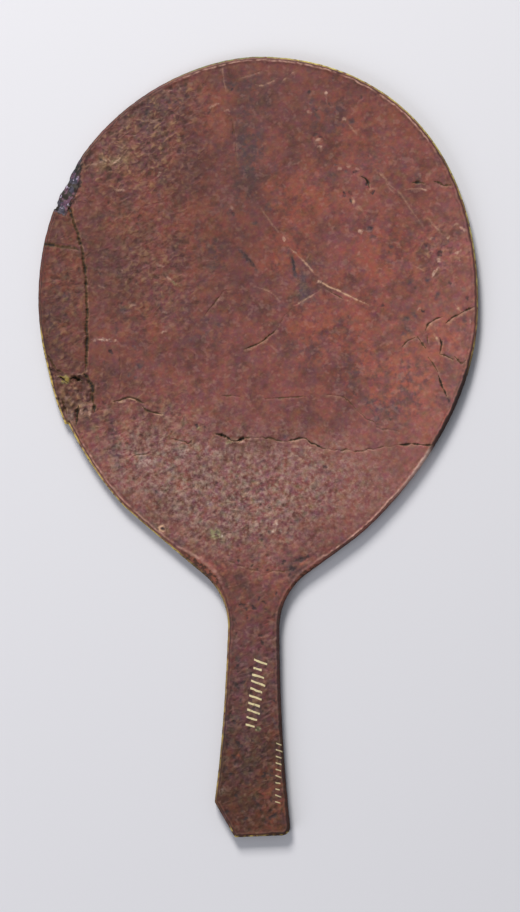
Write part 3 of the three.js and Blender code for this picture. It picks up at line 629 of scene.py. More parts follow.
        (-37.5, 25.7, 1.28, 0.9, 0, -0.05, 0.9), (51.3, 25.2, 2.88, 0.22, -87, -0.04, 0.85),
        (48.6, 24.5, 4.17, 0.17, -86, -0.05), (-41, 22.4, 0.83, 0.9, 0, -0.06),
        (-39, 21.5, 0.64, 0.9, 0, -0.08), (46.1, 18.7, 1.44, 0.7, 45, -0.03, 0.8),
        (61.6, 15.8, 1.47, 0.44, -61, -0.1), (43, 14.5, 1.95, 0.41, -81, -0.03, 0.8),
        (41.4, 12.2, 2.95, 0.33, -77, -0.03, 0.9), (38.8, 10, 1.58, 0.41, 24, -0.05, 0.8),
        (9.6, 3.7, 0.96, 0.8, 0, -0.05, 0.8), (-45.1, 0.6, 7.42, 0.17, -83, -0.03, 0.6),
        (0.6, -35.5, 1.6, 0.8, 0, -0.03, 0.7), (-4.6, -67.6, 1.43, 0.56, -63, -0.05, 0.8),
        (7.3, -87.7, 1.87, 0.29, -70, -0.15), (-8.2, -103.5, 1.09, 0.8, 70, -0.05, 0.7),
    ),
    *toned(
        Tone.RUSTY,
        (60.2, 20.7, 1.82, 0.26, -75, 0.02), (-57.5, 14.8, 0.83, 0.8, 0, 0.2, 0.8),
        (-41.1, -0.6, 7.36, 0.11, -89, 0, 0.6), (-23.9, -12.5, 2.56, 0.9, 0, 0, 0.85),
        (16, -37, 1.51, 0.25, 32, 0.05), (-4.1, -99.1, 1.58, 0.22, 66, 0.05),
        (-4.5, -100.2, 0.8, 0.4, 53, 0.06), (4.4, -110.8, 2.22, 0.32, -30, 0.05),
    ),
    *toned(
        Tone.CHALKY,
        (-49.5, 33.5, 0.7, 0.8, 10, 0.1), (-47.2, 33.5, 0.58, 0.8, 10, 0.1),
        (-52.4, 33.4, 0.51, 0.8, 10, 0.1), (-59.3, 8.7, 1.28, 0.8, 60, 0.2, 0.6),
        (-23, -1.9, 1.76, 0.8, 20, 0.02, 0.75), (-12.1, -2.7, 0.96, 0.8, 0, 0.03, 0.7),
        (-35.1, -5.3, 2.56, 0.55, 10, 0.02, 0.75), (6.8, -24.2, 0.77, 0.8, 10, 0.1),
        (5.9, -26.8, 0.83, 0.8, 10, 0.1), (-12.3, -27.7, 0.58, 0.8, 10, 0.1),
        (-10.4, -28.6, 0.58, 0.8, 10, 0.1), (-9, -109.9, 1.28, 0.8, 60, 0, 0.4),
    ),
)

# How far the chip's broken lumps stand out over the level cut, by the place along the mirror.
BREAK_LUMPS = ((75.0, 0.0), (75.9, 1.8), (79.0, 1.8), (81.0, 1.15), (84.5, 0.9), (86.2, 0.3), (88.0, 0.0))

PATCHES = (
    *zoned(
        Zone.CRUST, (-42, 95, 24, 20, 1.0, 40), (-30, 108, 16, 7, 0.7, 35), (-35, 58, 18, 24, 0.7),
        (-62, 45, 9, 34, 0.7), (-5, -18, 32, 19, 0.95), (-35, 0, 24, 18, 0.85), (-58, 14, 10, 10, 0.8),
        (58, 64, 9, 12, 0.4), (1, -88, 17, 46, 1.0),
    ),
    *zoned(
        Zone.EMBER, (50, 22, 12, 18, 0.95, 20), (40, 25, 13, 11, 0.85), (58, 38, 8, 12, 0.7),
        (62, 38, 5, 9, 0.8), (22, 38, 16, 11, 0.7), (8, 62, 9, 8, 0.8), (12, 80, 17, 12, 0.7),
        (40, 60, 16, 18, 0.6), (30, 104, 18, 14, 0.5), (-20, 66, 14, 17, 0.7), (-18, 108, 9, 14, 0.6),
        (-38, 72, 14, 9, 0.6), (-40, 38, 14, 10, 0.5), (-63, 55, 7, 22, 0.7), (-14, -39, 6, 5, 0.9),
        (9, -112, 6, 12, 0.8), (8, -45, 7, 8, 0.4),
    ),
    *zoned(
        Zone.ASH, (-4, -16, 34, 22, 0.95), (-32, -6, 26, 17, 0.8), (26, -12, 24, 14, 0.65),
        (16, -6, 20, 10, 0.6), (14, 53, 5, 8, 0.2, -35), (-42, 98, 20, 12, 0.15, 40),
        (-40, 56, 20, 14, 0.15),
    ),
    *zoned(
        Zone.SHADE, (-3.8, 95, 5.5, 16, 0.95), (-2, 115, 7, 6, 0.7), (-30, 110, 16, 6, 0.6, 30),
        (15, 53, 4, 7, 0.9, -20), (-8.9, 77, 5, 5, 0.6), (-15, 60, 6, 5, 0.6), (-17, 37, 5, 5, 0.45),
        (31, 25, 5, 6, 0.55), (41, 14, 8, 7, 0.85), (50, 20, 4, 9, 0.75), (15, 30, 9, 6, 0.35),
        (38, 92, 9, 8, 0.35), (57, 66, 5, 8, 0.35), (20, 108, 10, 6, 0.5), (64, 22, 4, 10, 0.6),
        (-25, 46, 10, 6, 0.35), (-66, 35, 5, 12, 0.5), (-1, -88, 11, 34, 0.55), (12, -38, 5, 5, 0.8),
    ),
    # Painted shade: broad dark brown over the disc's left and top, with darker patches on the handle and at
    # the neck.
    *zoned(
        Zone.UMBER, (-62, 58, 42, 56, 0.85), (-63, 48, 9, 26, 0.6), (-36, 55, 22, 26, 0.3),
        (-20, 112, 55, 30, 0.6), (-15, 70, 30, 26, 0.8), (35, 112, 30, 18, 0.35), (-66, 28, 10, 16, 0.5),
        (0, -98, 22, 34, 0.45), (1, -118, 22, 22, 0.5), (-5, -42, 3.4, 2.6, 0.8),
    ),
    *zoned(Zone.VERDIGRIS, (-60, 12, 6, 6, 0.2), (-47, 91, 6, 3, 0.35, 25)),
)


def ripple(points: np.ndarray, length: float, seed: int, waves: int = 18) -> np.ndarray:
    """Give a smooth, seeded unevenness over the plane.

    Args:
        points: Places as rows of x and y.
        length: The typical distance from crest to crest.
        seed: Fixes the pattern.
        waves: How many waves are laid over each other.

    Returns:
        One value a point, mostly between -1 and 1.
    """
    dice = np.random.default_rng(seed)
    turn = dice.uniform(0, 2 * math.pi, waves)
    pace = 2 * math.pi / (length * dice.uniform(0.7, 1.5, waves))
    shift = dice.uniform(0, 2 * math.pi, waves)
    along = points[:, :1] * np.cos(turn) + points[:, 1:2] * np.sin(turn)
    return np.sin(along * pace + shift).sum(1) / math.sqrt(waves / 2) * 0.6


def smooth(value: np.ndarray, low: float, high: float) -> np.ndarray:
    """Rise smoothly from 0 at low to 1 at high."""
    share = np.clip((value - low) / (high - low), 0, 1)
    return share * share * (3 - 2 * share)


def resample(line: np.ndarray, spacing: float, closed: bool = False) -> np.ndarray:
    """Put points at even steps along a line.

    Args:
        line: Its corners as rows of x and y.
        spacing: The step that is wanted.
        closed: Whether the last corner joins the first.

    Returns:
        The new points, without a repeat of the first on a closed line.
    """
    if closed:
        line = np.vstack([line, line[:1]])
    run = np.concatenate([[0], np.cumsum(np.hypot(*np.diff(line, axis=0).T))])
    count = max(2, int(round(run[-1] / spacing)))
    stops = np.linspace(0, run[-1], count, endpoint=not closed)
    return np.column_stack([np.interp(stops, run, line[:, k]) for k in (0, 1)])


def nearest(points: np.ndarray, targets: np.ndarray) -> tuple[np.ndarray, np.ndarray]:
    """Find the nearest target of each point.

    Args:
        points: Rows of x and y.
        targets: Rows of x and y.

    Returns:
        The distances and the targets' numbers.
    """
    tree = KDTree(len(targets))
    for number, (x, y) in enumerate(targets):
        tree.insert((x, y, 0.0), number)
    tree.balance()
    found = [tree.find((x, y, 0.0)) for x, y in points]
    return np.array([f[2] for f in found]), np.array([f[1] for f in found])


def sideways(line: np.ndarray) -> np.ndarray:
    """Give the direction across an open line at each of its points, as rows of length 1."""
    along = np.gradient(line, axis=0)
    return np.column_stack([-along[:, 1], along[:, 0]]) / np.maximum(np.hypot(*along.T), 1e-6)[:, None]


def in_scene(name: str, data: bpy.types.ID) -> bpy.types.Object:
    """Put a mesh, light or camera in the scene as an object."""
    made = bpy.data.objects.new(name, data)
    bpy.context.scene.collection.objects.link(made)
    return made


class Outline:
    """The plate's edge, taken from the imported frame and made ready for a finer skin."""

    def __init__(self, node: bpy.types.Object, height: float, spacing: float) -> None:
        """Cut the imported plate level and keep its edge.

        Args:
            node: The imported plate.
            height: Where it is cut, in millimetres above the underside.
            spacing: Distance between the edge's points.
        """
        ring = resample(self._cut(node, height), spacing, closed=True)
        ring = 0.25 * np.roll(ring, 1, 0) + 0.5 * ring + 0.25 * np.roll(ring, -1, 0)
        stand = np.interp(ring[:, 1], *np.array(BREAK_LUMPS).T) * (ring[:, 0] < -50)
        ring[:, 0] -= stand
        local = np.clip(stand + np.roll(stand, 2) + np.roll(stand, -2), 0, 1)[:, None]
        for _ in range(6):
            ring += local * 0.25 * (np.roll(ring, 1, 0) - 2 * ring + np.roll(ring, -1, 0))
        ring[:, 0] += 0.22 * local[:, 0] * ripple(ring, 1.9, 13)
        self.inward = self._inward(ring)
        wear = np.clip(0.035 + 0.03 * ripple(ring, 3.0, 11) + 0.02 * ripple(ring, 1.3, 12), 0, 0.1)
        self.points = ring + self.inward * wear[:, None]

    @staticmethod
    def _cut(node: bpy.types.Object, height: float) -> np.ndarray:
        """Give the longest loop of a level cut through the plate.

        Args:
            node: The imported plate.
            height: Where it is cut, in millimetres.

        Returns:
            The loop's corners in order, anticlockwise from above.
        """
        work = bmesh.new()
        work.from_mesh(node.data)
        bmesh.ops.remove_doubles(work, verts=work.verts, dist=1e-6)
        geometry = work.verts[:] + work.edges[:] + work.faces[:]
        level = (0, 0, height * METRES)
        section = bmesh.ops.bisect_plane(work, geom=geometry, plane_co=level, plane_no=(0, 0, 1), dist=1e-7)
        links: dict[int, list[int]] = {}
        places: dict[int, tuple[float, float]] = {}
        for item in section["geom_cut"]:
            if isinstance(item, bmesh.types.BMEdge):
                a, b = item.verts
                links.setdefault(a.index, []).append(b.index)
                links.setdefault(b.index, []).append(a.index)
            else:
                places[item.index] = (item.co.x / METRES, item.co.y / METRES)
        work.free()
        loops, used = [], set()
        for start in links:
            if start in used:
                continue
            loop, here = [start], start
            used.add(start)
            while True:
                onward = [n for n in links[here] if n not in used]
                if not onward:
                    break
                here = onward[0]
                used.add(here)
                loop.append(here)
            loops.append(np.array([places[n] for n in loop]))
        ring = max(loops, key=lambda r: np.hypot(*np.diff(r, axis=0).T).sum() if len(r) > 1 else 0)
        x, y = ring.T
        area = (x * np.roll(y, -1) - np.roll(x, -1) * y).sum()
        return ring if area > 0 else ring[::-1]

    @staticmethod
    def _inward(ring: np.ndarray) -> np.ndarray:
        """Give each edge point's direction into the plate."""
        ahead = np.roll(ring, -2, 0) - np.roll(ring, 2, 0)
        side = np.column_stack([-ahead[:, 1], ahead[:, 0]])
        return side / np.hypot(*side.T)[:, None]

    def keep_inside(self, points: np.ndarray, gap: float | np.ndarray) -> np.ndarray:
        """Keep the points inside the edge that are further than a gap from it.

        Args:
            points: Rows of x and y.
            gap: The least distance, one for all or one for each point of the edge.

        Returns:
            The points that are left.
        """
        away, which = nearest(points, self.points)
        inside = ((points - self.points[which]) * self.inward[which]).sum(1) > 0
        return points[inside & (away > np.broadcast_to(gap, len(self.points))[which])]


@dataclass
class MirrorPlate:
    """The whole mirror: a flat plate with a rim, a chip, a lost corner, cracks and grain.

    Args:
        rim_height: Height at which the bevel starts.
        crest: Height of the rim's lip.
        face: Height of the face behind the lip.
        bevel: Width of the bevel.
        lip: Width over which the lip falls to the face.
        foot: Height and width of the underside's bevel.
        lattice: Spacing of the points on the face.
        spacing: Spacing of the points along the edge.
        under_lattice: Spacing of the points on the underside.
        insets: Where rings of points follow the rim, as distances from the edge.
        grain_height: Height of the corrosion's grain.
        grain_size: Its typical size.
        pit_depth: Depth of the pits.
        pit_size: Their typical distance.
        swell: Height of the plate's unevenness.
        crack_step: Spacing of the points along cracks.
        necks: Where disc and handle meet, with how much wider the bevel gets there.
        neck_reach: How far that widening reaches.
        chip_foot: The chip's edge on the underside, with the width of its slope.
        disc_middle: The point that the chip's slope rises towards.
        pocket: The corners of the lost corner.
        pocket_depth: How deep its floor lies.
        pocket_lumps: What stands in it: place, half sizes, turn in degrees and height.
        handle_top: Where the handle's colour starts, along the mirror.
    """

    rim_height: float = 2.7
    crest: float = 3.38
    face: float = 3.22
    bevel: float = 0.9
    lip: float = 0.8
    foot: float = 0.5
    lattice: float = 0.56
    spacing: float = 0.45
    under_lattice: float = 2.3
    insets: tuple[float, ...] = (0.12, 0.3, 0.55, 0.85, 1.15, 1.5)
    grain_height: float = 0.13
    grain_size: float = GRAIN
    pit_depth: float = 0.22
    pit_size: float = 2.4
    swell: float = 0.05
    crack_step: float = 0.4
    necks: tuple[tuple[float, float, float], ...] = ((-16.3, -39.6, 1.9), (15.4, -38.2, 0.3))
    neck_reach: float = 9.0
    chip_foot: tuple[tuple[float, float, float], ...] = (
        (-58.1, 93.1, 0.4), (-58.1, 91.6, 0.9), (-61.4, 84.4, 4.3), (-64.0, 80.2, 5.3), (-65.9, 75.1, 4.8),
    )
    disc_middle: tuple[float, float] = (0.0, 47.5)
    pocket: tuple[tuple[float, float], ...] = (
        (-77.2, 25.3), (-65.8, 24.5), (-62.1, 22.7), (-58.0, 21.8), (-55.1, 21.9), (-53.2, 19.9),
        (-52.3, 16.5), (-52.3, 12.9), (-56.8, 12.5), (-57.3, 7.4), (-59.2, 6.1), (-77.2, 4.9),
    )
    pocket_depth: float = 0.85
    pocket_lumps: tuple[tuple[float, ...], ...] = (
        (-54.6, 12.9, 2.4, 1.6, -35, 0.8), (-60.7, 21.8, 1.6, 1.2, 0, 0.6),
        (-64.0, 14.5, 2.4, 5.0, 20, 0.55), (-58.5, 15.0, 3.0, 3.0, 0, 0.3),
    )
    handle_top: float = -44.0

    def build(self, name: str, node: bpy.types.Object, material: bpy.types.Material) -> bpy.types.Object:
        """Make the plate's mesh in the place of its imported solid.

        Args:
            name: The piece's name.
            node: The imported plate.
            material: Its patina.

        Returns:
            The finished piece, at the origin.
        """
        self.outline = Outline(node, 0.55, self.spacing)
        self.runs = [self._wander(crack, number) for number, crack in enumerate(CRACKS)]
        points = self._skin_points()
        skin, faces = self._triangles(self.outline.points, points)
        heights, marks = self._relief(skin)
        plate = self._close(name, skin, faces, heights, marks)
        return self._work_surface(plate, material)

    def _wander(self, crack: Crack, seed: int) -> np.ndarray:
        """Give a crack's line in small steps, straying a little as a real one does."""
        line = resample(np.array(crack.path), self.crack_step)
        stray = ripple(line, 4.5, 200 + seed) * 0.7 + ripple(line, 1.7, 300 + seed) * 0.5
        ends = np.minimum(np.arange(len(line)), np.arange(len(line))[::-1]) / 3
        return line + sideways(line) * (stray * crack.wander * np.clip(ends, 0, 1))[:, None]

    def _flare(self, places: np.ndarray) -> np.ndarray:
        """Tell how many times wider the bevel gets where disc and handle meet."""
        gain = np.ones(len(places))
        for x, y, more in self.necks:
            gain += more * np.exp(-((places[:, 0] - x) ** 2 + (places[:, 1] - y) ** 2) / self.neck_reach**2)
        return gain

    def _skin_points(self) -> np.ndarray:
        """Choose the points inside the edge: rings at the rim, rows along the cracks, a lattice between.

        Returns:
            The points as rows of x and y.
        """
        edge, inward = self.outline.points, self.outline.inward
        flare = self._flare(edge)
        rings = []
        for number, inset in enumerate(self.insets):
            ring = edge + inward * (inset * flare)[:, None]
            if number % 2:
                ring = 0.5 * (ring + np.roll(ring, -1, 0))
            away, _ = nearest(ring, edge)
            rings.append(ring[away >= 0.9 * inset * flare])
        cracks = []
        for crack, run in zip(CRACKS, self.runs):
            side = sideways(run)
            half = crack.width / 2
            for offset in (0.0, half * 0.55, -half * 0.55, half, -half, half + 0.35, -half - 0.35):
                cracks.append(run + side * offset)
        near = self._thin(np.vstack(cracks), 0.16)
        low, high = edge.min(0), edge.max(0)
        rows = []
        for row, y in enumerate(np.arange(low[1], high[1], self.lattice * math.sqrt(3) / 2)):
            x = np.arange(low[0] + (row % 2) * self.lattice / 2, high[0], self.lattice)
            rows.append(np.column_stack([x, np.full_like(x, y)]))
        grid = np.vstack(rows)
        grid += np.random.default_rng(5).uniform(-0.12, 0.12, grid.shape) * self.lattice
        grid = self.outline.keep_inside(grid, (self.insets[-1] + 0.1) * flare)
        away, _ = nearest(grid, near)
        grid = grid[away > 0.33]
        near = self.outline.keep_inside(near, 0.14)
        ring = np.vstack(rings)
        away, _ = nearest(ring, near)
        return np.vstack([ring[away > 0.15], near, grid])

    @staticmethod
    def _thin(points: np.ndarray, gap: float) -> np.ndarray:
        """Keep one point of each little square, so that none lie on each other."""
        _, kept = np.unique(np.floor(points / gap).astype(int), axis=0, return_index=True)
        return points[np.sort(kept)]

    @staticmethod
    def _triangles(edge: np.ndarray, inner: np.ndarray) -> tuple[np.ndarray, np.ndarray]:
        """Cover the area inside an edge with triangles.

        Args:
            edge: The closed edge, anticlockwise.
            inner: The points inside it.

        Returns:
            The points, the edge's own first and in order, and the triangles.
        """
        spots = [Vector(p) for p in np.vstack([edge, inner])]
        face = [list(range(len(edge)))]
        made, _, faces, origin, _, _ = delaunay_2d_cdt(spots, [], face, 1, 1e-5)
        places = np.array([tuple(v) for v in made])
        first = np.array([o[0] if o else -1 for o in origin])
        lost = set(range(len(edge))) - set(first[first >= 0].tolist())
        if lost or (first < 0).any():
            LOG.warning("the edge crosses itself: %d lost, %d added", len(lost), int((first < 0).sum()))
        key = np.where(first < 0, 10**7 + np.arange(len(first)), first)
        order = np.argsort(key, kind="stable")
        number = np.empty(len(order), int)
        number[order] = np.arange(len(order))
        return places[order], number[np.array([list(f) for f in faces])]

    def _in_pocket(self, places: np.ndarray) -> np.ndarray:
        """Give how far inside the lost corner each place is, in millimetres, below 0 outside."""
        corners = np.array(self.pocket)
        best = np.full(len(places), 1e9)
        odd = np.zeros(len(places), bool)
        for a, b in zip(corners, np.roll(corners, -1, 0)):
            run = b - a
            share = np.clip(((places - a) @ run) / (run @ run), 0, 1)
            best = np.minimum(best, np.hypot(*(places - a - share[:, None] * run).T))
            crosses = (a[1] > places[:, 1]) != (b[1] > places[:, 1])
            with np.errstate(divide="ignore", invalid="ignore"):
                at = a[0] + (places[:, 1] - a[1]) / (b[1] - a[1]) * run[0]
            odd ^= crosses & (places[:, 0] < at)
        return np.where(odd, best, -best)

    def _chip(self, places: np.ndarray) -> tuple[np.ndarray, np.ndarray]:
        """Follow the broken edge at the upper left.

        Args:
            places: Rows of x and y.

        Returns:
            The share of the way up the break, above 1 behind it, and how near each place is to it.
        """
        table = np.array(self.chip_foot)
        foot = resample(table[:, :2], 0.25)
        runs = np.concatenate([[0], np.cumsum(np.hypot(*np.diff(table[:, :2], axis=0).T))])
        widths = np.interp(np.linspace(0, runs[-1], len(foot)), runs, table[:, 2])
        away, which = nearest(places, foot)
        inner = np.array(self.disc_middle) - foot
        inner /= np.hypot(*inner.T)[:, None]
        depth = ((places - foot[which]) * inner[which]).sum(1)
        beside = np.abs(((places - foot[which]) * inner[which][:, ::-1] * [1, -1]).sum(1))
        outside = 9.0
        share = np.where((beside < 0.5) & (depth <= 12), depth / widths[which], outside)
        return share, away / np.maximum(widths[which], 1.0)

    def _relief(self, places: np.ndarray) -> tuple[np.ndarray, dict[str, np.ndarray]]:
        """Work out the face's height and the patina's attributes.

        Args:
            places: The skin's points, the edge first.

        Returns:
            The heights in millimetres, and the attributes by name.
        """
        edge = self.outline.points
        away, which = nearest(places, edge)
        away[: len(edge)] = 0
        inset = away / self._flare(edge)[which]
        waver = 0.13 * ripple(places, 4.5, 91) + 0.09 * ripple(places, 1.8, 92)
        inset = inset + smooth(inset, 0.3, 1.1) * waver
        bevel = np.sin(np.clip(inset / self.bevel, 0, 1) * math.pi / 2)
        height = np.where(
            inset < self.bevel,
            self.rim_height + (self.crest - self.rim_height) * bevel,
            self.crest - (self.crest - self.face) * smooth(inset, self.bevel, self.bevel + self.lip),
        )
        behind = smooth(inset, 1.2, 3.5)
        height += self.swell * behind * (ripple(places, 38, 1) + 0.6 * ripple(places, 15, 2)) - 0.05 * behind
        height += 0.03 * smooth(inset, 0.2, 1.0) * ripple(places, 5, 3)
        zones = self._zones(places)
        stray = np.column_stack([ripple(places, 1.9, 81), ripple(places, 1.9, 82)]) * 0.25
        for mark in MARKS:
            spot = self._spot(places + stray, mark.x, mark.y, mark.size, mark.size * mark.thin, mark.turn)
            height += mark.rise * spot
            zone = zones[mark.tone.value]
            np.maximum(zone, np.clip(spot * 2.0, 0, 1) * mark.weight, out=zone)
        height -= self._blister(places)
        height -= self._strip(places)
        # The lost corner: a lower floor with broken lumps.
        deep = self._in_pocket(places) + 0.15 * ripple(places, 2.5, 31)
        floor = self.pocket_depth * smooth(deep, -0.1, 0.7)
        lumps = 0.3 * ripple(places, 4.2, 32) + 0.3 * ripple(places, 1.7, 33)
        lump = sum(self._spot(places, *row[:5]) * row[5] for row in self.pocket_lumps)
        lost = smooth(deep, 0, 1.0)
        height += -floor + lost * np.clip(lumps * 0.7 + lump, -0.25, 0.9)
        # The chip at the upper left: a rough slope from the underside up to the face.
        share, near = self._chip(places)
        steps = 0.16 * ripple(places, 1.4, 41) + 0.2 * ripple(places, 2.9, 42)
        slope = 0.5 + 2.75 * np.clip(np.clip(share, 0, 1.3) ** 0.8 + steps * np.clip(share, 0, 1), 0, 1.4)
        in_chip = share < 1.25
        height = np.clip(np.where(in_chip, np.minimum(height, slope), height), *SKIN_RANGE)
        grain = (0.13 + 0.95 * zones[Zone.CRUST]) * (0.3 + 0.7 * smooth(inset, 0.4, 2.2))
        marks = {zone.value: zones[zone] for zone in Zone}
        marks |= self._rim_tones(edge[which], smooth(near, 0.25, 0.9), 1 - 0.85 * smooth(deep, -0.4, 0.3))
        marks["rim"] = np.clip(inset, 0, FAR_IN)
        marks["broken"] = np.where(share < 1.0, 1.0 - smooth(share, 0.72, 1.0), 0.0)
        marks["lost"] = lost
        marks["grain"] = np.where(in_chip, 0.9, grain)
        marks["open"] = np.ones(len(places))
        marks["handle"] = smooth(-places[:, 1], -self.handle_top - 6, 6 - self.handle_top)
        return height, marks

    @staticmethod
    def _blister(places: np.ndarray) -> np.ndarray:
        """Give the depth of the hollow ring round the blister, deeper on two sides."""
        dx, dy = places[:, 0] - BLISTER[0], places[:, 1] - BLISTER[1]
        ring = np.hypot(dx, dy) - BLISTER_RADIUS
        return 0.2 * np.exp(-((ring / 0.75) ** 2)) * (0.55 + 0.45 * np.sin(np.arctan2(dy, dx) * 2 + 0.5))

    @staticmethod
    def _strip(places: np.ndarray) -> np.ndarray:
        """Give how much lower the strip on the left rim lies than the disc that it broke from."""
        line = np.interp(places[:, 1], [20, 43, 66, 77], [54.9, 54.8, 58.0, 61.6])
        strip = smooth(-places[:, 0] - line, 0.0, 0.6)
        strip *= smooth(places[:, 1], 20, 22) * smooth(-places[:, 1], -78, -74)
        return 0.1 * strip * (0.6 + 0.4 * ripple(places, 9, 21))

    def _rim_tones(self, beside: np.ndarray, unbroken: np.ndarray, kept: np.ndarray) -> dict[str, np.ndarray]:
        """Tell where the rim shows exposed metal, painted highlights, painted reflection and painted shade,
        and where its bevel widens.

        Args:
            beside: The edge's nearest point to each place, as rows of x and y.
            unbroken: 0 at the chip and 1 away from it.
            kept: Near 0 in the lost corner and 1 away from it.

        Returns:
            The attributes for exposed metal, the crest's painted highlight, the right bevels' painted shade,
            the lower right pale painted highlight and the necks.
        """
        x, y = beside.T
        # Exposed metal along the lower left rim, the handle and its end, with painted highlight; a painted
        # reflection along the upper right rim.
        patchy = 0.85 + 0.3 * ripple(beside, 6, 51) + 0.3 * ripple(beside, 2.2, 52)
        left_rim = smooth(-x, 9.0, 14) * smooth(-y, -40, -32) * smooth(y, -44, -34)
        left_side = 0.4 * smooth(-x, 3, 6) * smooth(-y, 34, 42) * smooth(y, -117, -108)
        upper_right = smooth(x, -34, -20) * (0.65 + 0.35 * smooth(y, 54, 66)) * smooth(y, 22, 34)
        butt = 0.8 * smooth(-y, 121, 123) * smooth(ripple(beside, 2.4, 55), -0.3, 0.2)
        gold = np.maximum.reduce([left_rim, left_side, upper_right, butt]) * patchy
        # Painted highlight along the rim's crest.
        top = smooth(x, -34, -20) * smooth(y, 88, 104)
        low_right = smooth(x, 6, 16) * smooth(-y, -3, 3)
        low_left = 0.75 * smooth(-x, 6, 16) * smooth(-y, -10, 2)
        strength = np.maximum.reduce([top, low_right, low_left, 0.25 * smooth(y, 60, 80)])
        strength = np.where(y < -46, 0.1, strength)
        streaky = np.clip(0.62 + 0.35 * ripple(beside, 9, 53) + 0.5 * ripple(beside, 2.1, 54), 0, 1)
        # Painted shade on the right bevels of the disc and of the handle.
        dim = np.maximum(0.4, smooth(-y, -40, -24)) * smooth(x, 50, 60) * smooth(y, -6, 1)
        dim = np.maximum(dim, 0.55 * smooth(x, 4, 9) * smooth(-y, 46, 54))
        # Where a pale painted highlight runs out to the lower right edge.
        wide = smooth(x, 40, 60) * smooth(-y, -2, 1) * smooth(y, -34, -12)
        neck = np.clip((self._flare(beside) - 1.15) / 1.2, 0, 1)
        gold = np.clip(gold, 0, 1) * unbroken * (1 - 0.6 * neck)
        right_neck = smooth(x, 7, 10) * smooth(-x, -26, -19) * smooth(-y, 29, 34) * smooth(y, -50, -45)
        neck = np.maximum.reduce([neck, 0.5 * smooth(-x, 9, 16) * smooth(-y, 4, 16), 0.9 * right_neck])
        crest = streaky * unbroken * kept * strength * (1 - 0.8 * right_neck)
        return {"gold": gold, "crest": crest, "dim": dim, "wide": wide, "neck": neck}

    @staticmethod
    def _spot(places: np.ndarray, x: float, y: float, wide: float, tall: float, turn: float) -> np.ndarray:
        """Give a soft round or oval spot, 1 in its middle.

        Args:
            places: Rows of x and y.
            x: Middle across.
            y: Middle along.
            wide: Half its size along its own direction.
            tall: Half its size across that.
            turn: The direction in degrees.

        Returns:
            One value a place.
        """
        c, s = math.cos(math.radians(turn)), math.sin(math.radians(turn))
        dx, dy = places[:, 0] - x, places[:, 1] - y
        return np.exp(-1.4 * (((dx * c + dy * s) / wide) ** 2 + ((dy * c - dx * s) / tall) ** 2) ** 1.2)

    def _zones(self, places: np.ndarray) -> dict[Zone, np.ndarray]:
        """Lay the patches, with their borders broken up."""
        zones = {zone: np.zeros(len(places)) for zone in Zone}
        stray = np.column_stack([ripple(places, 9, 61), ripple(places, 9, 62)]) * 2.2
        stray += np.column_stack([ripple(places, 3.3, 63), ripple(places, 3.3, 64)]) * 0.9
        for patch in PATCHES:
            spot = self._spot(places + stray, patch.x, patch.y, patch.wide, patch.tall, patch.turn)
            zones[patch.zone] = 1 - (1 - zones[patch.zone]) * (1 - patch.weight * spot)
        return zones

    def _close(
        self, name: str, skin: np.ndarray, faces: np.ndarray, heights: np.ndarray,
        marks: dict[str, np.ndarray],
    ) -> bpy.types.Object:
        """Join the face, the side and the underside into one closed mesh.

        Args:
            name: The piece's name.
            skin: The face's points, the edge first.
            faces: The face's triangles.
            heights: The face's heights.
            marks: The face's attributes.

        Returns:
            The plate without its grain and cracks.
        """
        edge, inward = self.outline.points, self.outline.inward
        count = len(edge)
        rough = np.clip(0.06 + 0.05 * ripple(edge, 2.2, 71) + 0.04 * ripple(edge, 5.5, 72), 0, 0.2)
        # Rows down the side, as how far in and how high: halfway down, and round the foot.
        rows = [(rough, 0.45 * heights[:count] + 0.55 * self.foot)]
        for shift, height in ((0.0, 0.9), (0.32, 0.28), (1.0, 0.0)):
            rows.append((np.full(count, shift * self.foot), np.full(count, height * self.foot)))
        places = [np.column_stack([skin, heights])]
        for shift, height in rows:
            places.append(np.column_stack([edge + inward * shift[:, None], height]))
        rim_under = places[-1][:, :2]
        low, high = edge.min(0), edge.max(0)
        x, y = np.meshgrid(*(np.arange(low[k], high[k], self.under_lattice) for k in (0, 1)))
        grid = np.column_stack([x.ravel(), y.ravel()])
        grid += np.random.default_rng(6).uniform(-0.2, 0.2, grid.shape) * self.under_lattice
        under, under_faces = self._triangles(rim_under, self.outline.keep_inside(grid, 1.6))
        inner = under[count:]
        places.append(np.column_stack([inner, np.zeros(len(inner))]))
        blocks = [faces]
        ring = np.arange(count)
        following = np.roll(ring, -1)
        starts = [0] + [len(skin) + k * count for k in range(len(rows))]
        for upper, lower in zip(starts, starts[1:]):
            a, b, c, d = upper + ring, upper + following, lower + following, lower + ring
            blocks += [np.column_stack([a, d, c]), np.column_stack([a, c, b])]
        base = len(skin) + (len(rows) - 1) * count
        blocks.append((under_faces + base)[:, ::-1])
        corners = np.vstack(places)
        triangles = np.vstack(blocks)
        mesh = bpy.data.meshes.new(name)
        mesh.from_pydata((corners * METRES).tolist(), [], triangles.tolist())
        mesh.polygons.foreach_set("use_smooth", np.ones(len(triangles), bool))
        rest = len(corners) - len(skin)
        side_rows = len(rows) * count
        # How much of the edge's value the side shows, where it isn't all of it.
        shares = {"gold": 0.6, "crest": 0.0, "open": 0.0}
        for key, values in marks.items():
            tail = np.zeros(rest)
            tail[:side_rows] = np.tile(values[:count], len(rows)) * shares.get(key, 1.0)
            if key == "rim":
                tail[side_rows:] = FAR_IN
            if key == "gold":
                tail[side_rows - 2 * count:] = 0
            layer = mesh.attributes.new(key, "FLOAT", "POINT")
            layer.data.foreach_set("value", np.concatenate([values, tail]).astype(np.float32))
        mesh.validate()
        LOG.info("plate skin: %d triangles", len(triangles))
        return in_scene(name, mesh)

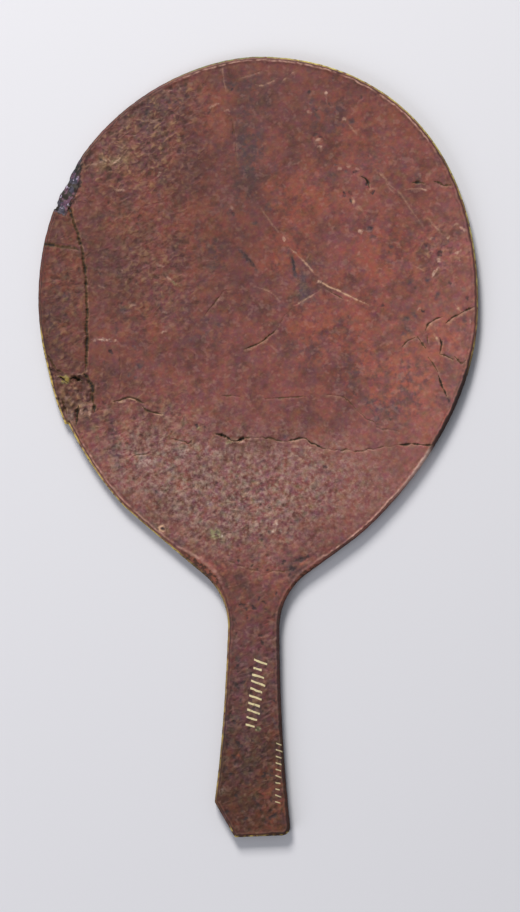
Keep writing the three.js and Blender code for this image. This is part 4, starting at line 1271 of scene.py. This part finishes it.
    def _crack_lines(self) -> bpy.types.Object:
        """Lay every crack as a line of short edges that the node tree measures to.

        Returns:
            A helper object with each crack's sizes as attributes.
        """
        places, edges = [], []
        spacing = self.crack_step / 2
        sizes: dict[str, list[float]] = {key: [] for key in SurfaceTree.CRACK_SIZES}
        for number, (crack, run) in enumerate(zip(CRACKS, self.runs)):
            line = resample(run, spacing)
            start = len(places)
            places += [(x * METRES, y * METRES, 0.0) for x, y in line]
            edges += [(start + k, start + k + 1) for k in range(len(line) - 1)]
            share = np.linspace(0, 1, len(line))
            taper = np.clip(np.minimum(share, 1 - share) * len(line) * spacing / 1.2, 0.35, 1)
            vary = 1 + 0.3 * ripple(line, 3.0, 400 + number) + 0.25 * ripple(line, 1.1, 500 + number)
            vary = np.clip(vary, 0.35, 1.5)
            vary *= 1 - crack.breaks * smooth(ripple(line, 7.0, 700 + number), -0.15, 0.5)
            sizes["half"] += list(crack.width / 2 * taper * np.clip(vary, 0.55, 1.5))
            sizes["depth"] += list(crack.depth * taper * vary)
            sizes["lip"] += list(crack.lip * vary * taper)
            sizes["glow"] += list(crack.glow * np.clip(0.6 + 0.8 * ripple(line, 3.5, 600 + number), 0, 1.2))
            sizes["dark"] += list(np.clip(crack.dark * np.clip(vary, 0, 1.15), 0, 1))
            pale = crack.pale * np.clip(vary + 0.15, 0, 1.1) * np.clip(taper, 0.5, 1)
            sizes["pale"] += list(np.clip(pale, 0, 1))
        mesh = bpy.data.meshes.new("crack_lines")
        mesh.from_pydata(places, edges, [])
        for key, values in sizes.items():
            layer = mesh.attributes.new(key, "FLOAT", "POINT")
            layer.data.foreach_set("value", np.array(values, np.float32))
        return in_scene("crack_lines", mesh)

    def _work_surface(self, plate: bpy.types.Object, material: bpy.types.Material) -> bpy.types.Object:
        """Run the node tree on the plate and keep its result as a plain mesh.

        Args:
            plate: The closed plate.
            material: Its patina.

        Returns:
            The same object with the worked mesh and no modifier.
        """
        lines = self._crack_lines()
        tree = SurfaceTree("worked_copper")
        modifier = plate.modifiers.new("surface", "NODES")
        modifier.node_group = tree.group
        values = {
            "Crack Lines": lines, "Grain Height": self.grain_height, "Grain Size": self.grain_size,
            "Pit Depth": self.pit_depth, "Pit Size": self.pit_size, "Crest": self.crest + 0.015, "Seed": SEED,
            "Patina": material,
        }
        for label, value in values.items():
            modifier[tree.sockets[label]] = value
        bpy.context.view_layer.update()
        evaluated = plate.evaluated_get(bpy.context.evaluated_depsgraph_get())
        worked = bpy.data.meshes.new_from_object(evaluated)
        plate.modifiers.remove(modifier)
        old = plate.data
        plate.data = worked
        worked.name = plate.name
        bpy.data.meshes.remove(old)
        bpy.data.objects.remove(lines)
        return plate


class SurfaceTree:
    """The Geometry Nodes tree that cuts the cracks and raises the corrosion's grain.

    CRACK_SIZES are the attributes that it reads from the crack lines.
    """

    CRACK_SIZES = ("half", "depth", "lip", "glow", "dark", "pale")

    def __init__(self, name: str) -> None:
        """Build the tree.

        Args:
            name: The tree's name.
        """
        self.group = bpy.data.node_groups.new(name, "GeometryNodeTree")
        self.sockets: dict[str, str] = {}
        self.kit = Kit(self.group)
        self._inputs()
        self._wire()

    def _inputs(self) -> None:
        """Name the tree's inputs and its output, and keep each input's identifier."""
        face = self.group.interface
        face.new_socket("Geometry", in_out="INPUT", socket_type="NodeSocketGeometry")
        kinds = {
            "Crack Lines": "Object", "Grain Height": "Float", "Grain Size": "Float", "Pit Depth": "Float",
            "Pit Size": "Float", "Crest": "Float", "Seed": "Float", "Patina": "Material",
        }
        for label, kind in kinds.items():
            socket = face.new_socket(label, in_out="INPUT", socket_type=f"NodeSocket{kind}")
            self.sockets[label] = socket.identifier
        face.new_socket("Geometry", in_out="OUTPUT", socket_type="NodeSocketGeometry")

    def _named(self, label: str) -> Val:
        """Read a float attribute of the mesh."""
        return self.kit.val("GeometryNodeInputNamedAttribute", {"data_type": "FLOAT"}, {"Name": label})

    def _wire(self) -> None:
        """Join the nodes from the inputs to the output."""
        kit = self.kit
        given = kit.node("NodeGroupInput")
        ask = {socket.name: Val(kit, socket) for socket in given.outputs if socket.name}
        position = kit.val("GeometryNodeInputPosition")
        x, y, z = kit.split(kit.vector("SCALE", position, 1 / METRES))
        flat = kit.join(x, y, ask["Seed"])
        groove, glow, depth, lip, line = self._cracks(ask, x, y)
        open_face = self._named("open")
        grain = self._named("grain")
        coarse = kit.noise(flat, 0.30, 3.0, 0.6)
        rough = kit.corroded(flat, ask["Grain Size"]) + (coarse - 0.5) * 1.3
        raised = rough * grain * ask["Grain Height"]
        cells = kit.node("ShaderNodeTexVoronoi", {}, {"Vector": flat, "Scale": 1.0 / ask["Pit Size"]})
        apart, chosen = Val(kit, cells.outputs["Distance"]), Val(kit, cells.outputs["Color"])
        pick = kit.step(kit.split(chosen)[0], 0.55, 0.75)
        pit = kit.step(apart, 0.30, 0.08) * pick * (grain * 1.4).least(1.0) * open_face
        sunk = pit * ask["Pit Depth"]
        change = (raised * (1.0 - groove) - sunk) * open_face + (lip - depth) * open_face
        level = (z + change).least(ask["Crest"])
        level = level.most((z - 1.6).least(z).most(0.0)) * open_face + z * (1.0 - open_face)
        moved = kit.vector("SCALE", kit.join(x, y, level), METRES)
        fields = {"groove": groove, "glow": glow, "pit": pit, "scratch": line * open_face}
        geometry = ask["Geometry"]
        for label, value in fields.items():
            geometry = kit.val(
                "GeometryNodeStoreNamedAttribute", {"data_type": "FLOAT", "domain": "POINT"},
                {"Geometry": geometry, "Name": label, "Value": value},
            )
        geometry = kit.val("GeometryNodeSetPosition", {}, {"Geometry": geometry, "Position": moved})
        geometry = kit.val("GeometryNodeRealizeInstances", {}, {0: geometry})
        geometry = kit.val("GeometryNodeSetMaterial", {}, {"Geometry": geometry, "Material": ask["Patina"]})
        kit.node("NodeGroupOutput", {}, {0: geometry})

    def _cracks(self, ask: dict[str, Val], x: Val, y: Val) -> tuple[Val, Val, Val, Val, Val]:
        """Measure to the nearest crack and shape its groove and its lips.

        Args:
            ask: The tree's inputs.
            x: Place across in millimetres.
            y: Place along in millimetres.

        Returns:
            How far into a groove a point is, how strong the painted highlight on the edge below it is, the
            cut's depth, the lip's height and how pale the line is.
        """
        kit = self.kit
        origin = {"transform_space": "ORIGINAL"}
        lines = kit.val("GeometryNodeObjectInfo", origin, {"Object": ask["Crack Lines"]}, "Geometry")
        spot, away = self._to_crack(lines, x, y)
        found = {"Geometry": lines, "Sample Position": spot}
        index = kit.val("GeometryNodeSampleNearest", {"domain": "POINT"}, found)
        size = {}
        for label in self.CRACK_SIZES:
            size[label] = kit.val(
                "GeometryNodeSampleIndex", {"data_type": "FLOAT", "domain": "POINT"},
                {"Geometry": lines, "Value": self._named(label), "Index": index},
            )
        share = (1.0 - away / size["half"]).within()
        eased = share * (2.0 - share)
        beside = kit.bell(away - size["half"], 0.22, 0.5)
        # The painted highlight falls on the edge below each crack, as if lit from above.
        _, below = self._to_crack(lines, x - 0.3, y + 0.34)
        edge_sheen = kit.step(below, 0.5, 0.12) * (1.0 - share) * size["glow"]
        line = kit.step(away - size["half"], 0.1, -0.12) * size["pale"]
        return eased * size["dark"], edge_sheen, eased * size["depth"], beside * size["lip"], line

    def _to_crack(self, lines: Val, x: Val, y: Val) -> tuple[Val, Val]:
        """Measure from a place on the face to the nearest crack.

        Args:
            lines: The crack lines.
            x: Place across in millimetres.
            y: Place along in millimetres.

        Returns:
            The place in metres, level with the lines, and its distance in millimetres.
        """
        spot = self.kit.join(x * METRES, y * METRES, 0.0)
        sockets = {0: lines, "Sample Position": spot}
        away = self.kit.val("GeometryNodeProximity", {"target_element": "EDGES"}, sockets, "Distance")
        return spot, away * (1 / METRES)


@dataclass(frozen=True)
class Strokes:
    """A row of painted strokes that stand for no letter.

    Args:
        x: The row's line across, in millimetres.
        top: Where it starts.
        bottom: Where it ends.
        pitch: Distance from stroke to stroke.
        length: Half a stroke's length.
        weight: Half its width.
        slant: How far a stroke leans.
        seed: Fixes how the strokes differ.
        show: How much of the paint is left.
        run: How far the row moves to the right for each millimetre up.
    """

    x: float
    top: float
    bottom: float
    pitch: float
    length: float
    weight: float
    slant: float
    seed: float
    show: float = 1.0
    run: float = 0.0


@dataclass(frozen=True)
class Patina:
    """Reddish-brown patina on copper, with its rim, cracks and painted strokes, and painted light and shade
    on the rim, the cracks and the crust.

    Args:
        dark: The deepest ground.
        mid: The usual ground.
        ember: Where cuprite shows orange-red.
        ash: Where the crust is greyish.
        shade: The blue-grey stains.
        handle: The handle's purple brown.
        butt: The brown of its lower end.
        tan: Pale tan of scratches and of the painted highlights on crack edges.
        ridge: Pale tan of specks and of the crust's ridges, on the ridges partly painted highlight.
        pink: The painted highlight on the rim's crest, and pink specks, scratches and crack edges.
        chalk: The palest greyish crust.
        gold: Exposed metal at the lower left rim, brightened as painted highlight.
        brass: Greenish yellow painted reflection along the upper right rim, given a metal's shine.
        moss: That reflection's darker green at the top.
        olive: The olive brown laid into the shallower cracks.
        plum: Purple turns of the ground.
        rust: Orange-brown turns of the ground.
        blush: Painted light: the ground made lighter and pinker towards the right.
        black_and_shade: Near black at the bottoms of cracks and pits, and painted shade on the rim, the side,
            the break and the lost corner.
        umber: Dark brown of flecks and of the crust's hollows, there partly painted shade, and the painted
            shade laid broadly over the disc's left and top.
        green: Verdigris.
        cream: The painted strokes.
        rows: Where the strokes stand on the handle.
    """

    dark: Colour = paint(92, 52, 48)
    mid: Colour = paint(126, 71, 65)
    ember: Colour = paint(156, 82, 62)
    ash: Colour = paint(145, 111, 101)
    shade: Colour = paint(72, 60, 66)
    handle: Colour = paint(100, 60, 56)
    butt: Colour = paint(73, 38, 16)
    tan: Colour = paint(190, 154, 116)
    ridge: Colour = paint(180, 138, 98)
    pink: Colour = paint(188, 146, 132)
    chalk: Colour = paint(176, 152, 142)
    gold: Colour = paint(206, 182, 92)
    brass: Colour = paint(190, 178, 96)
    moss: Colour = paint(104, 112, 62)
    olive: Colour = paint(76, 54, 27)
    plum: Colour = paint(108, 65, 72)
    rust: Colour = paint(140, 77, 56)
    blush: Colour = paint(202, 134, 122)
    black_and_shade: Colour = paint(26, 19, 17)
    umber: Colour = paint(52, 33, 24)
    green: Colour = paint(124, 124, 84)
    cream: Colour = paint(226, 207, 164)
    rows: tuple[Strokes, ...] = (
        Strokes(1.2, -67.6, -90.3, 2.27, 2.1, 0.34, 0.3, 3.0, 1.0, 0.12),
        Strokes(8.9, -93.9, -114.6, 2.07, 0.95, 0.22, 0.3, 5.0, 0.7),
    )

    def material(self, name: str) -> bpy.types.Material:
        """Build the patina's nodes.

        Args:
            name: The material's name.

        Returns:
            The material.
        """
        made = bpy.data.materials.new(name)
        made.use_nodes = True
        made.node_tree.nodes.clear()
        kit = Kit(made.node_tree)
        spot = kit.val("ShaderNodeTexCoord", {}, {}, "Object")
        place = kit.vector("SCALE", spot, 1 / METRES)
        labels = ["rim", "gold", "crest", "dim", "wide", "neck", "broken", "lost", "grain", "handle", "open"]
        labels += ["groove", "glow", "scratch", "pit", *(zone.value for zone in Zone)]
        read = {k: kit.val("ShaderNodeAttribute", {"attribute_name": k}, {}, "Fac") for k in labels}
        worm = self._worm(kit, place)
        colour = self._ground(kit, place, read)
        colour = self._specks(kit, place, read, worm, colour)
        colour, metal_and_sheen = self._edges(kit, place, read, colour)
        marks = self._paint_marks(kit, place)
        tint = kit.blend(kit.noise(place, 0.9, 2.0), self.cream, paint(206, 200, 150))
        colour = kit.blend(marks, colour, tint)
        fine = kit.noise(place, 1.6, 3.0, 0.6)
        rough = 0.62 + (fine - 0.5) * 0.3 + read["crust"] * 0.08 - metal_and_sheen * 0.2 - read["ember"] * 0.04
        metal = (0.1 + metal_and_sheen * 0.2) * (1.0 - marks)
        height = worm * (0.04 + read["grain"] * 0.85) * (0.7 - read["ash"] * 0.3)
        height = height * (1.0 - marks) + fine * 0.2 + marks * 0.4
        bump = kit.val("ShaderNodeBump", {}, {"Strength": 0.8, "Distance": 0.0002, "Height": height})
        looks = {"Base Color": colour, "Roughness": rough, "Metallic": metal, "Normal": bump}
        shader = kit.val("ShaderNodeBsdfPrincipled", {}, {**looks, "Specular IOR Level": 0.35})
        kit.node("ShaderNodeOutputMaterial", {}, {0: shader})
        return made

    def _ground(self, kit: Kit, place: Val, read: dict[str, Val]) -> Val:
        """Mix the broad colours of the patina, with painted light towards the right.

        Args:
            kit: The material's kit.
            place: The point in millimetres.
            read: The mesh's attributes.

        Returns:
            The colour.
        """
        broad = kit.noise(place, 0.05, 3.0, 0.55)
        middle = kit.noise(place, 0.17, 4.0, 0.62)
        small = kit.noise(place, 0.55, 4.0, 0.65)
        drift = kit.noise(place, 0.23, 3.0, 0.55)
        x, y, _ = kit.split(place)
        grip = kit.blend(kit.step(y + broad * 30.0, -55.0, -92.0), self.handle, self.butt)
        right = x - abs(y - 5.0) * 0.4 + broad * 20.0
        return kit.coats(
            kit.blend(kit.step(middle * 0.6 + broad * 0.4, 0.38, 0.6), self.dark, self.mid),
            (read["ember"] * kit.step(small * 0.5 + middle * 0.5, 0.40, 0.58) * 0.85, self.ember),
            (read["ash"] * kit.step(small, 0.36, 0.62) * 0.85, self.ash),
            (read["handle"] * 0.85, grip),
            (read["handle"] * read["ember"] * kit.step(small, 0.38, 0.6) * 0.8, self.ember),
            (kit.step(drift, 0.5, 0.64) * 0.45, self.plum),
            (kit.step(drift, 0.48, 0.34) * (0.34 - read["ash"] * 0.25), self.rust),
            # Painted light: lighter and pinker towards the right.
            (kit.step(right, 22.0, 60.0) * 0.17, self.blush),
            (read["shade"] * kit.step(small * 0.55 + middle * 0.45, 0.64, 0.44) * 0.75, self.shade),
        )

    @staticmethod
    def _worm(kit: Kit, place: Val) -> Val:
        """Repeat the node tree's unevenness, so that colour and bump lie on the same ridges."""
        x, y, _ = kit.split(place)
        return kit.corroded(kit.join(x, y, SEED), GRAIN)

    def _specks(self, kit: Kit, place: Val, read: dict[str, Val], worm: Val, colour: Val) -> Val:
        """Strew the specks of many colours over the ground, with the crust's pale ridges and dark hollows,
        partly painted highlight and shade.

        Args:
            kit: The material's kit.
            place: The point in millimetres.
            read: The mesh's attributes.
            worm: The fine unevenness of the face.
            colour: The colour so far.

        Returns:
            The colour with its specks.
        """
        crust, ash = read["crust"], read["ash"]
        aside = kit.vector("ADD", place, (41.0, 17.0, 5.0))
        dots = kit.noise(place, 0.5, 1.5, 0.5)
        others = kit.noise(aside, 0.55, 1.5, 0.5)
        hues = kit.noise(place, 0.5, 1.0, 0.5, 1)
        hues = kit.vector("SUBTRACT", kit.vector("MULTIPLY", hues, (2.4, 2.2, 2.4)), (0.7, 0.62, 0.7))
        away = 1.0 - read["handle"] * 0.7
        pale = kit.blend(ash, self.ridge, self.chalk)
        fleck = kit.noise(aside, 1.05, 1.5, 0.55)
        mossy = kit.step(kit.noise(aside, 0.45, 1.5, 0.5), 0.54, 0.7)
        mossy = mossy * (0.05 + crust * 0.08) + read["verdigris"] * 0.9 * kit.step(dots, 0.3, 0.55)
        amount = 0.04 + read["grain"] * 0.8
        return kit.coats(
            kit.blend(0.14 + crust * 0.08, colour, hues, "OVERLAY"),
            (kit.step(dots, 0.54, 0.68) * (0.3 + read["shade"] * 0.45) * away, self.shade),
            (kit.step(others, 0.54, 0.68) * (0.05 + crust * 0.22 + ash * 0.1) * away, pale),
            (kit.step(fleck, 0.54, 0.66) * ash * 0.27, paint(190, 164, 150)),
            (kit.step(fleck, 0.46, 0.34) * (ash * 0.25 + crust * 0.15), self.umber),
            (kit.step(others, 0.44, 0.3) * 0.16, self.pink),
            (mossy, kit.blend(kit.step(fleck, 0.5, 0.6) * 0.7, self.green, paint(178, 174, 132))),
            # Pale on the ridges and dark brown in the hollows: partly the crust's own colour, partly painted
            # highlight and painted shade.
            (kit.step(worm, 0.3, 1.1) * amount * (0.7 - ash * 0.38) * away, pale),
            (kit.step(worm, -0.1, -0.85) * amount * (0.95 - ash * 0.55), self.umber),
            (read["pit"] * 0.7, self.black_and_shade),
        )

    def _edges(self, kit: Kit, place: Val, read: dict[str, Val], colour: Val) -> tuple[Val, Val]:
        """Paint the cracks, the breaks, the small marks and the rim, with painted light and shade on them,
        and the broad painted shade over the disc.

        Args:
            kit: The material's kit.
            place: The point in millimetres.
            read: The mesh's attributes.
            colour: The colour so far.

        Returns:
            The colour and how much exposed metal and painted sheen shows.
        """
        small = kit.noise(place, 0.8, 2.0, 0.6)
        broken_up = kit.step(small, 0.3, 0.6)
        bruise = kit.step(read["bruise"], 0.1, 0.75)
        bright = kit.step(read["pale"], 0.1, 0.85) * (0.22 + broken_up * 0.5) * (1.0 - bruise)
        pale_and_highlight = kit.blend(small, self.pink, self.tan)
        grit = kit.step(kit.noise(place, 1.3, 2.0, 0.6), 0.42, 0.58)
        white = kit.blend(kit.step(read["chalk"], 0.8, 1.0) * 0.8, self.chalk, paint(226, 208, 190))
        mould = kit.step(read["verdigris"], 0.45, 0.9) * (0.35 + broken_up * 0.55) * read["lost"]
        mottle = kit.step(kit.noise(place, 0.42, 2.0, 0.6), 0.46, 0.58)
        fracture = kit.coats(
            kit.blend(mottle, paint(26, 28, 22), paint(58, 60, 76)),
            (kit.step(kit.noise(place, 0.35, 2.0, 0.6), 0.52, 0.6) * 0.6, paint(112, 74, 98)),
            (kit.step(kit.noise(place, 0.6, 2.0, 0.6), 0.6, 0.68), paint(160, 150, 172)),
            (bruise * 0.9, paint(24, 27, 19)),
        )
        rim, neck, wide = read["rim"], read["neck"], read["wide"]
        bevel = kit.step(rim, 1.0, 0.8) * neck
        plain = (1.0 - neck * 0.8) * (1.0 - wide)
        x, y, _ = kit.split(place)
        high = kit.step(y, 36.0, 60.0)
        # The band at the outer rim where exposed metal shows, lit up as painted highlight at the lower left
        # and as a painted reflection at the upper right.
        edge_sheen = kit.step(rim + high * 0.06 + neck * 0.3, 0.66, 0.32) * kit.step(read["open"], 0.5, 0.9)
        metal_and_sheen = edge_sheen * read["gold"] * kit.step(small, 0.28, 0.55)
        upper = kit.blend(kit.step(x, 14.0, -4.0), self.brass, self.moss)
        line = read["scratch"] * (0.14 + broken_up * 0.5) + kit.step(read["scratch"], 0.82, 1.0) * 0.3
        colour = kit.coats(
            colour,
            # Painted shade: the broad dark brown zone over the disc's left and top.
            (read["umber"] * 0.48, self.umber),
            (bruise * (0.35 + broken_up * 0.5), paint(44, 36, 38)),
            (bright, kit.blend(small, paint(196, 154, 120), paint(200, 168, 158))),
            # Painted highlight on the edge below each crack.
            (read["glow"] * (0.2 + broken_up * 0.8) * 0.62, pale_and_highlight),
            (read["chalk"] * (0.1 + grit * 0.6), white),
            # Painted shade in the lost corner.
            (read["lost"] * 0.12, self.black_and_shade),
            (mould, paint(152, 132, 60)),
            (read["broken"] * 0.92, fracture),
            # Painted shadow along the break's inner edge.
            (kit.bell(read["broken"], 0.45, 0.42) * 0.85, self.black_and_shade),
            (bevel * 0.6, self.rust),
            (bevel * kit.step(small, 0.54, 0.4) * 0.85, self.umber),
            # Painted shade on the bevel.
            (kit.bell(rim, 0.8, 0.34) * 0.6 * plain, self.black_and_shade),
            # Painted shadow inside the rim's lip.
            (kit.bell(rim, 1.85, 0.6) * 0.3 * broken_up, self.black_and_shade),
            # Painted highlight on the rim's crest.
            (kit.bell(rim, 1.15, 0.4) * read["crest"] * (0.35 + broken_up * 0.65), self.pink),
            # A pale painted highlight at the lower right edge.
            (kit.step(rim, 1.3, 0.9) * wide * (0.55 + broken_up * 0.4), paint(214, 182, 170)),
            # Painted shade on the right bevels.
            (kit.step(rim, 1.45, 1.05) * read["dim"] * 0.85, self.black_and_shade),
            # Painted shade on the outer edge and the side.
            (kit.step(rim, 0.5, 0.2) * 0.5 * (1.0 - wide), self.black_and_shade),
            # Exposed metal with painted highlight, and the painted reflection at the upper right.
            (metal_and_sheen, kit.blend(high, self.gold, upper)),
            (line, pale_and_highlight),
            (kit.step(read["groove"], 0.02, 0.4) * 0.85, self.olive),
            (kit.step(read["groove"], 0.5, 0.85) * 0.9, self.black_and_shade),
        )
        return colour, metal_and_sheen

    def _paint_marks(self, kit: Kit, place: Val) -> Val:
        """Draw the rows of painted strokes on the handle.

        Args:
            kit: The material's kit.
            place: The point in millimetres.

        Returns:
            How much paint covers each place.
        """
        x, y, z = kit.split(place)
        total = 0.0
        wobble = (kit.noise(place, 0.5, 2.0) - 0.5) * 1.1
        for row in self.rows:
            along = (row.top - y) / row.pitch
            stroke_seed = {"W": along.floor() + row.seed}
            chance = kit.val("ShaderNodeTexWhiteNoise", {"noise_dimensions": "1D"}, stroke_seed)
            middle = (y - (row.top + row.bottom) / 2) * row.run + row.x
            across = x - middle - (chance - 0.5) * row.length * 0.4
            lean = row.slant * (0.8 + chance * 0.4)
            beside = abs((along.fract() - 0.5) * row.pitch - across * lean + wobble * row.weight * 1.5)
            reach = abs(across) - (chance - 0.5) * row.length * 0.5
            stroke = kit.step(beside, row.weight * 1.2, row.weight * 0.65)
            stroke = stroke * kit.step(reach, row.length * 0.95, row.length * 0.85)
            stroke = stroke * kit.step(y, row.bottom - 0.1, row.bottom + 0.1)
            stroke = stroke * kit.step(y, row.top + 0.1, row.top - 0.1)
            total = stroke * row.show + total
        wear = kit.step(kit.noise(place, 1.3, 3.0, 0.7), 0.28, 0.42)
        return (total * wear).within() * kit.step(z, 2.4, 2.8) * 0.92


@dataclass(frozen=True)
class Studio:
    """A pale floor, soft lights and the camera straight above.

    Args:
        aim: The point of the face in the middle of the picture, in millimetres.
        tall: Height of the picture on the face.
        distance: How far the camera is above the face, in metres.
        roll: The camera's turn in degrees.
        face: Height of the face.
    """

    aim: tuple[float, float] = (1.37, -2.82)
    tall: float = 291.84
    distance: float = 1.5
    roll: float = 0.947
    face: float = 3.2

    def build(self) -> None:
        """Set up the floor, the lights, the world and the camera."""
        self._floor()
        self._world()
        self._light("key", (-0.4, 1.24, 0.88), 0.5, 30.0, (1.0, 0.965, 0.92))
        self._light("fill", (-0.95, -0.75, 0.8), 0.9, 6.5, (0.97, 0.96, 1.0))
        self._camera()

    def _floor(self) -> None:
        """Lay the floor that the mirror rests on."""
        made = bpy.data.materials.new("pale_floor")
        made.use_nodes = True
        shader = made.node_tree.nodes["Principled BSDF"]
        shader.inputs["Base Color"].default_value = paint(214, 215, 221)
        shader.inputs["Roughness"].default_value = 0.85
        mesh = bpy.data.meshes.new("floor")
        half = 3.0
        corners = [(-half, -half, 0), (half, -half, 0), (half, half, 0), (-half, half, 0)]
        mesh.from_pydata(corners, [], [(0, 1, 2, 3)])
        mesh.materials.append(made)
        floor = in_scene("floor", mesh)
        floor.location.z = -0.0002

    def _world(self) -> None:
        """Light the scene evenly from all sides, softly."""
        world = bpy.data.worlds.new("studio")
        world.use_nodes = True
        background = world.node_tree.nodes["Background"]
        background.inputs["Color"].default_value = (0.93, 0.95, 1.0, 1.0)
        background.inputs["Strength"].default_value = 0.3
        bpy.context.scene.world = world
        bpy.context.scene.view_settings.view_transform = "Standard"

    @staticmethod
    def _light(
        name: str, place: tuple[float, float, float], size: float, power: float, colour: tuple[float, ...]
    ) -> None:
        """Hang a soft square light that looks at the mirror.

        Args:
            name: The light's name.
            place: Where it hangs, in metres.
            size: Its side.
            power: Its power in watts.
            colour: Its colour.
        """
        data = bpy.data.lights.new(name, "AREA")
        data.size = size
        data.energy = power
        data.color = colour
        light = in_scene(name, data)
        light.location = place
        light.rotation_euler = (Vector((0, 0.01, 0)) - Vector(place)).to_track_quat("-Z", "Y").to_euler()

    def _camera(self) -> None:
        """Hang the camera over the face, looking straight down."""
        data = bpy.data.cameras.new("camera")
        data.sensor_fit = "VERTICAL"
        data.sensor_height = 36.0
        data.lens = 36.0 * self.distance / (self.tall * METRES)
        camera = in_scene("camera", data)
        camera.location = (self.aim[0] * METRES, self.aim[1] * METRES, self.distance + self.face * METRES)
        camera.rotation_euler = (0, 0, math.radians(self.roll))
        bpy.context.scene.camera = camera


def main() -> None:
    """Build the mirror and its studio, and report the piece."""
    logging.basicConfig(level=logging.INFO, format="%(name)s: %(message)s")
    patina = Patina().material("patinated_copper")
    plate = MirrorPlate().build("mirror_plate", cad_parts["mirror"], patina)
    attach(plate, "root")
    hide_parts("mirror")
    LOG.info("%s: %d triangles", plate.name, len(plate.data.polygons))
    Studio().build()
    bpy.context.view_layer.update()


if __name__ == "__main__":
    main()
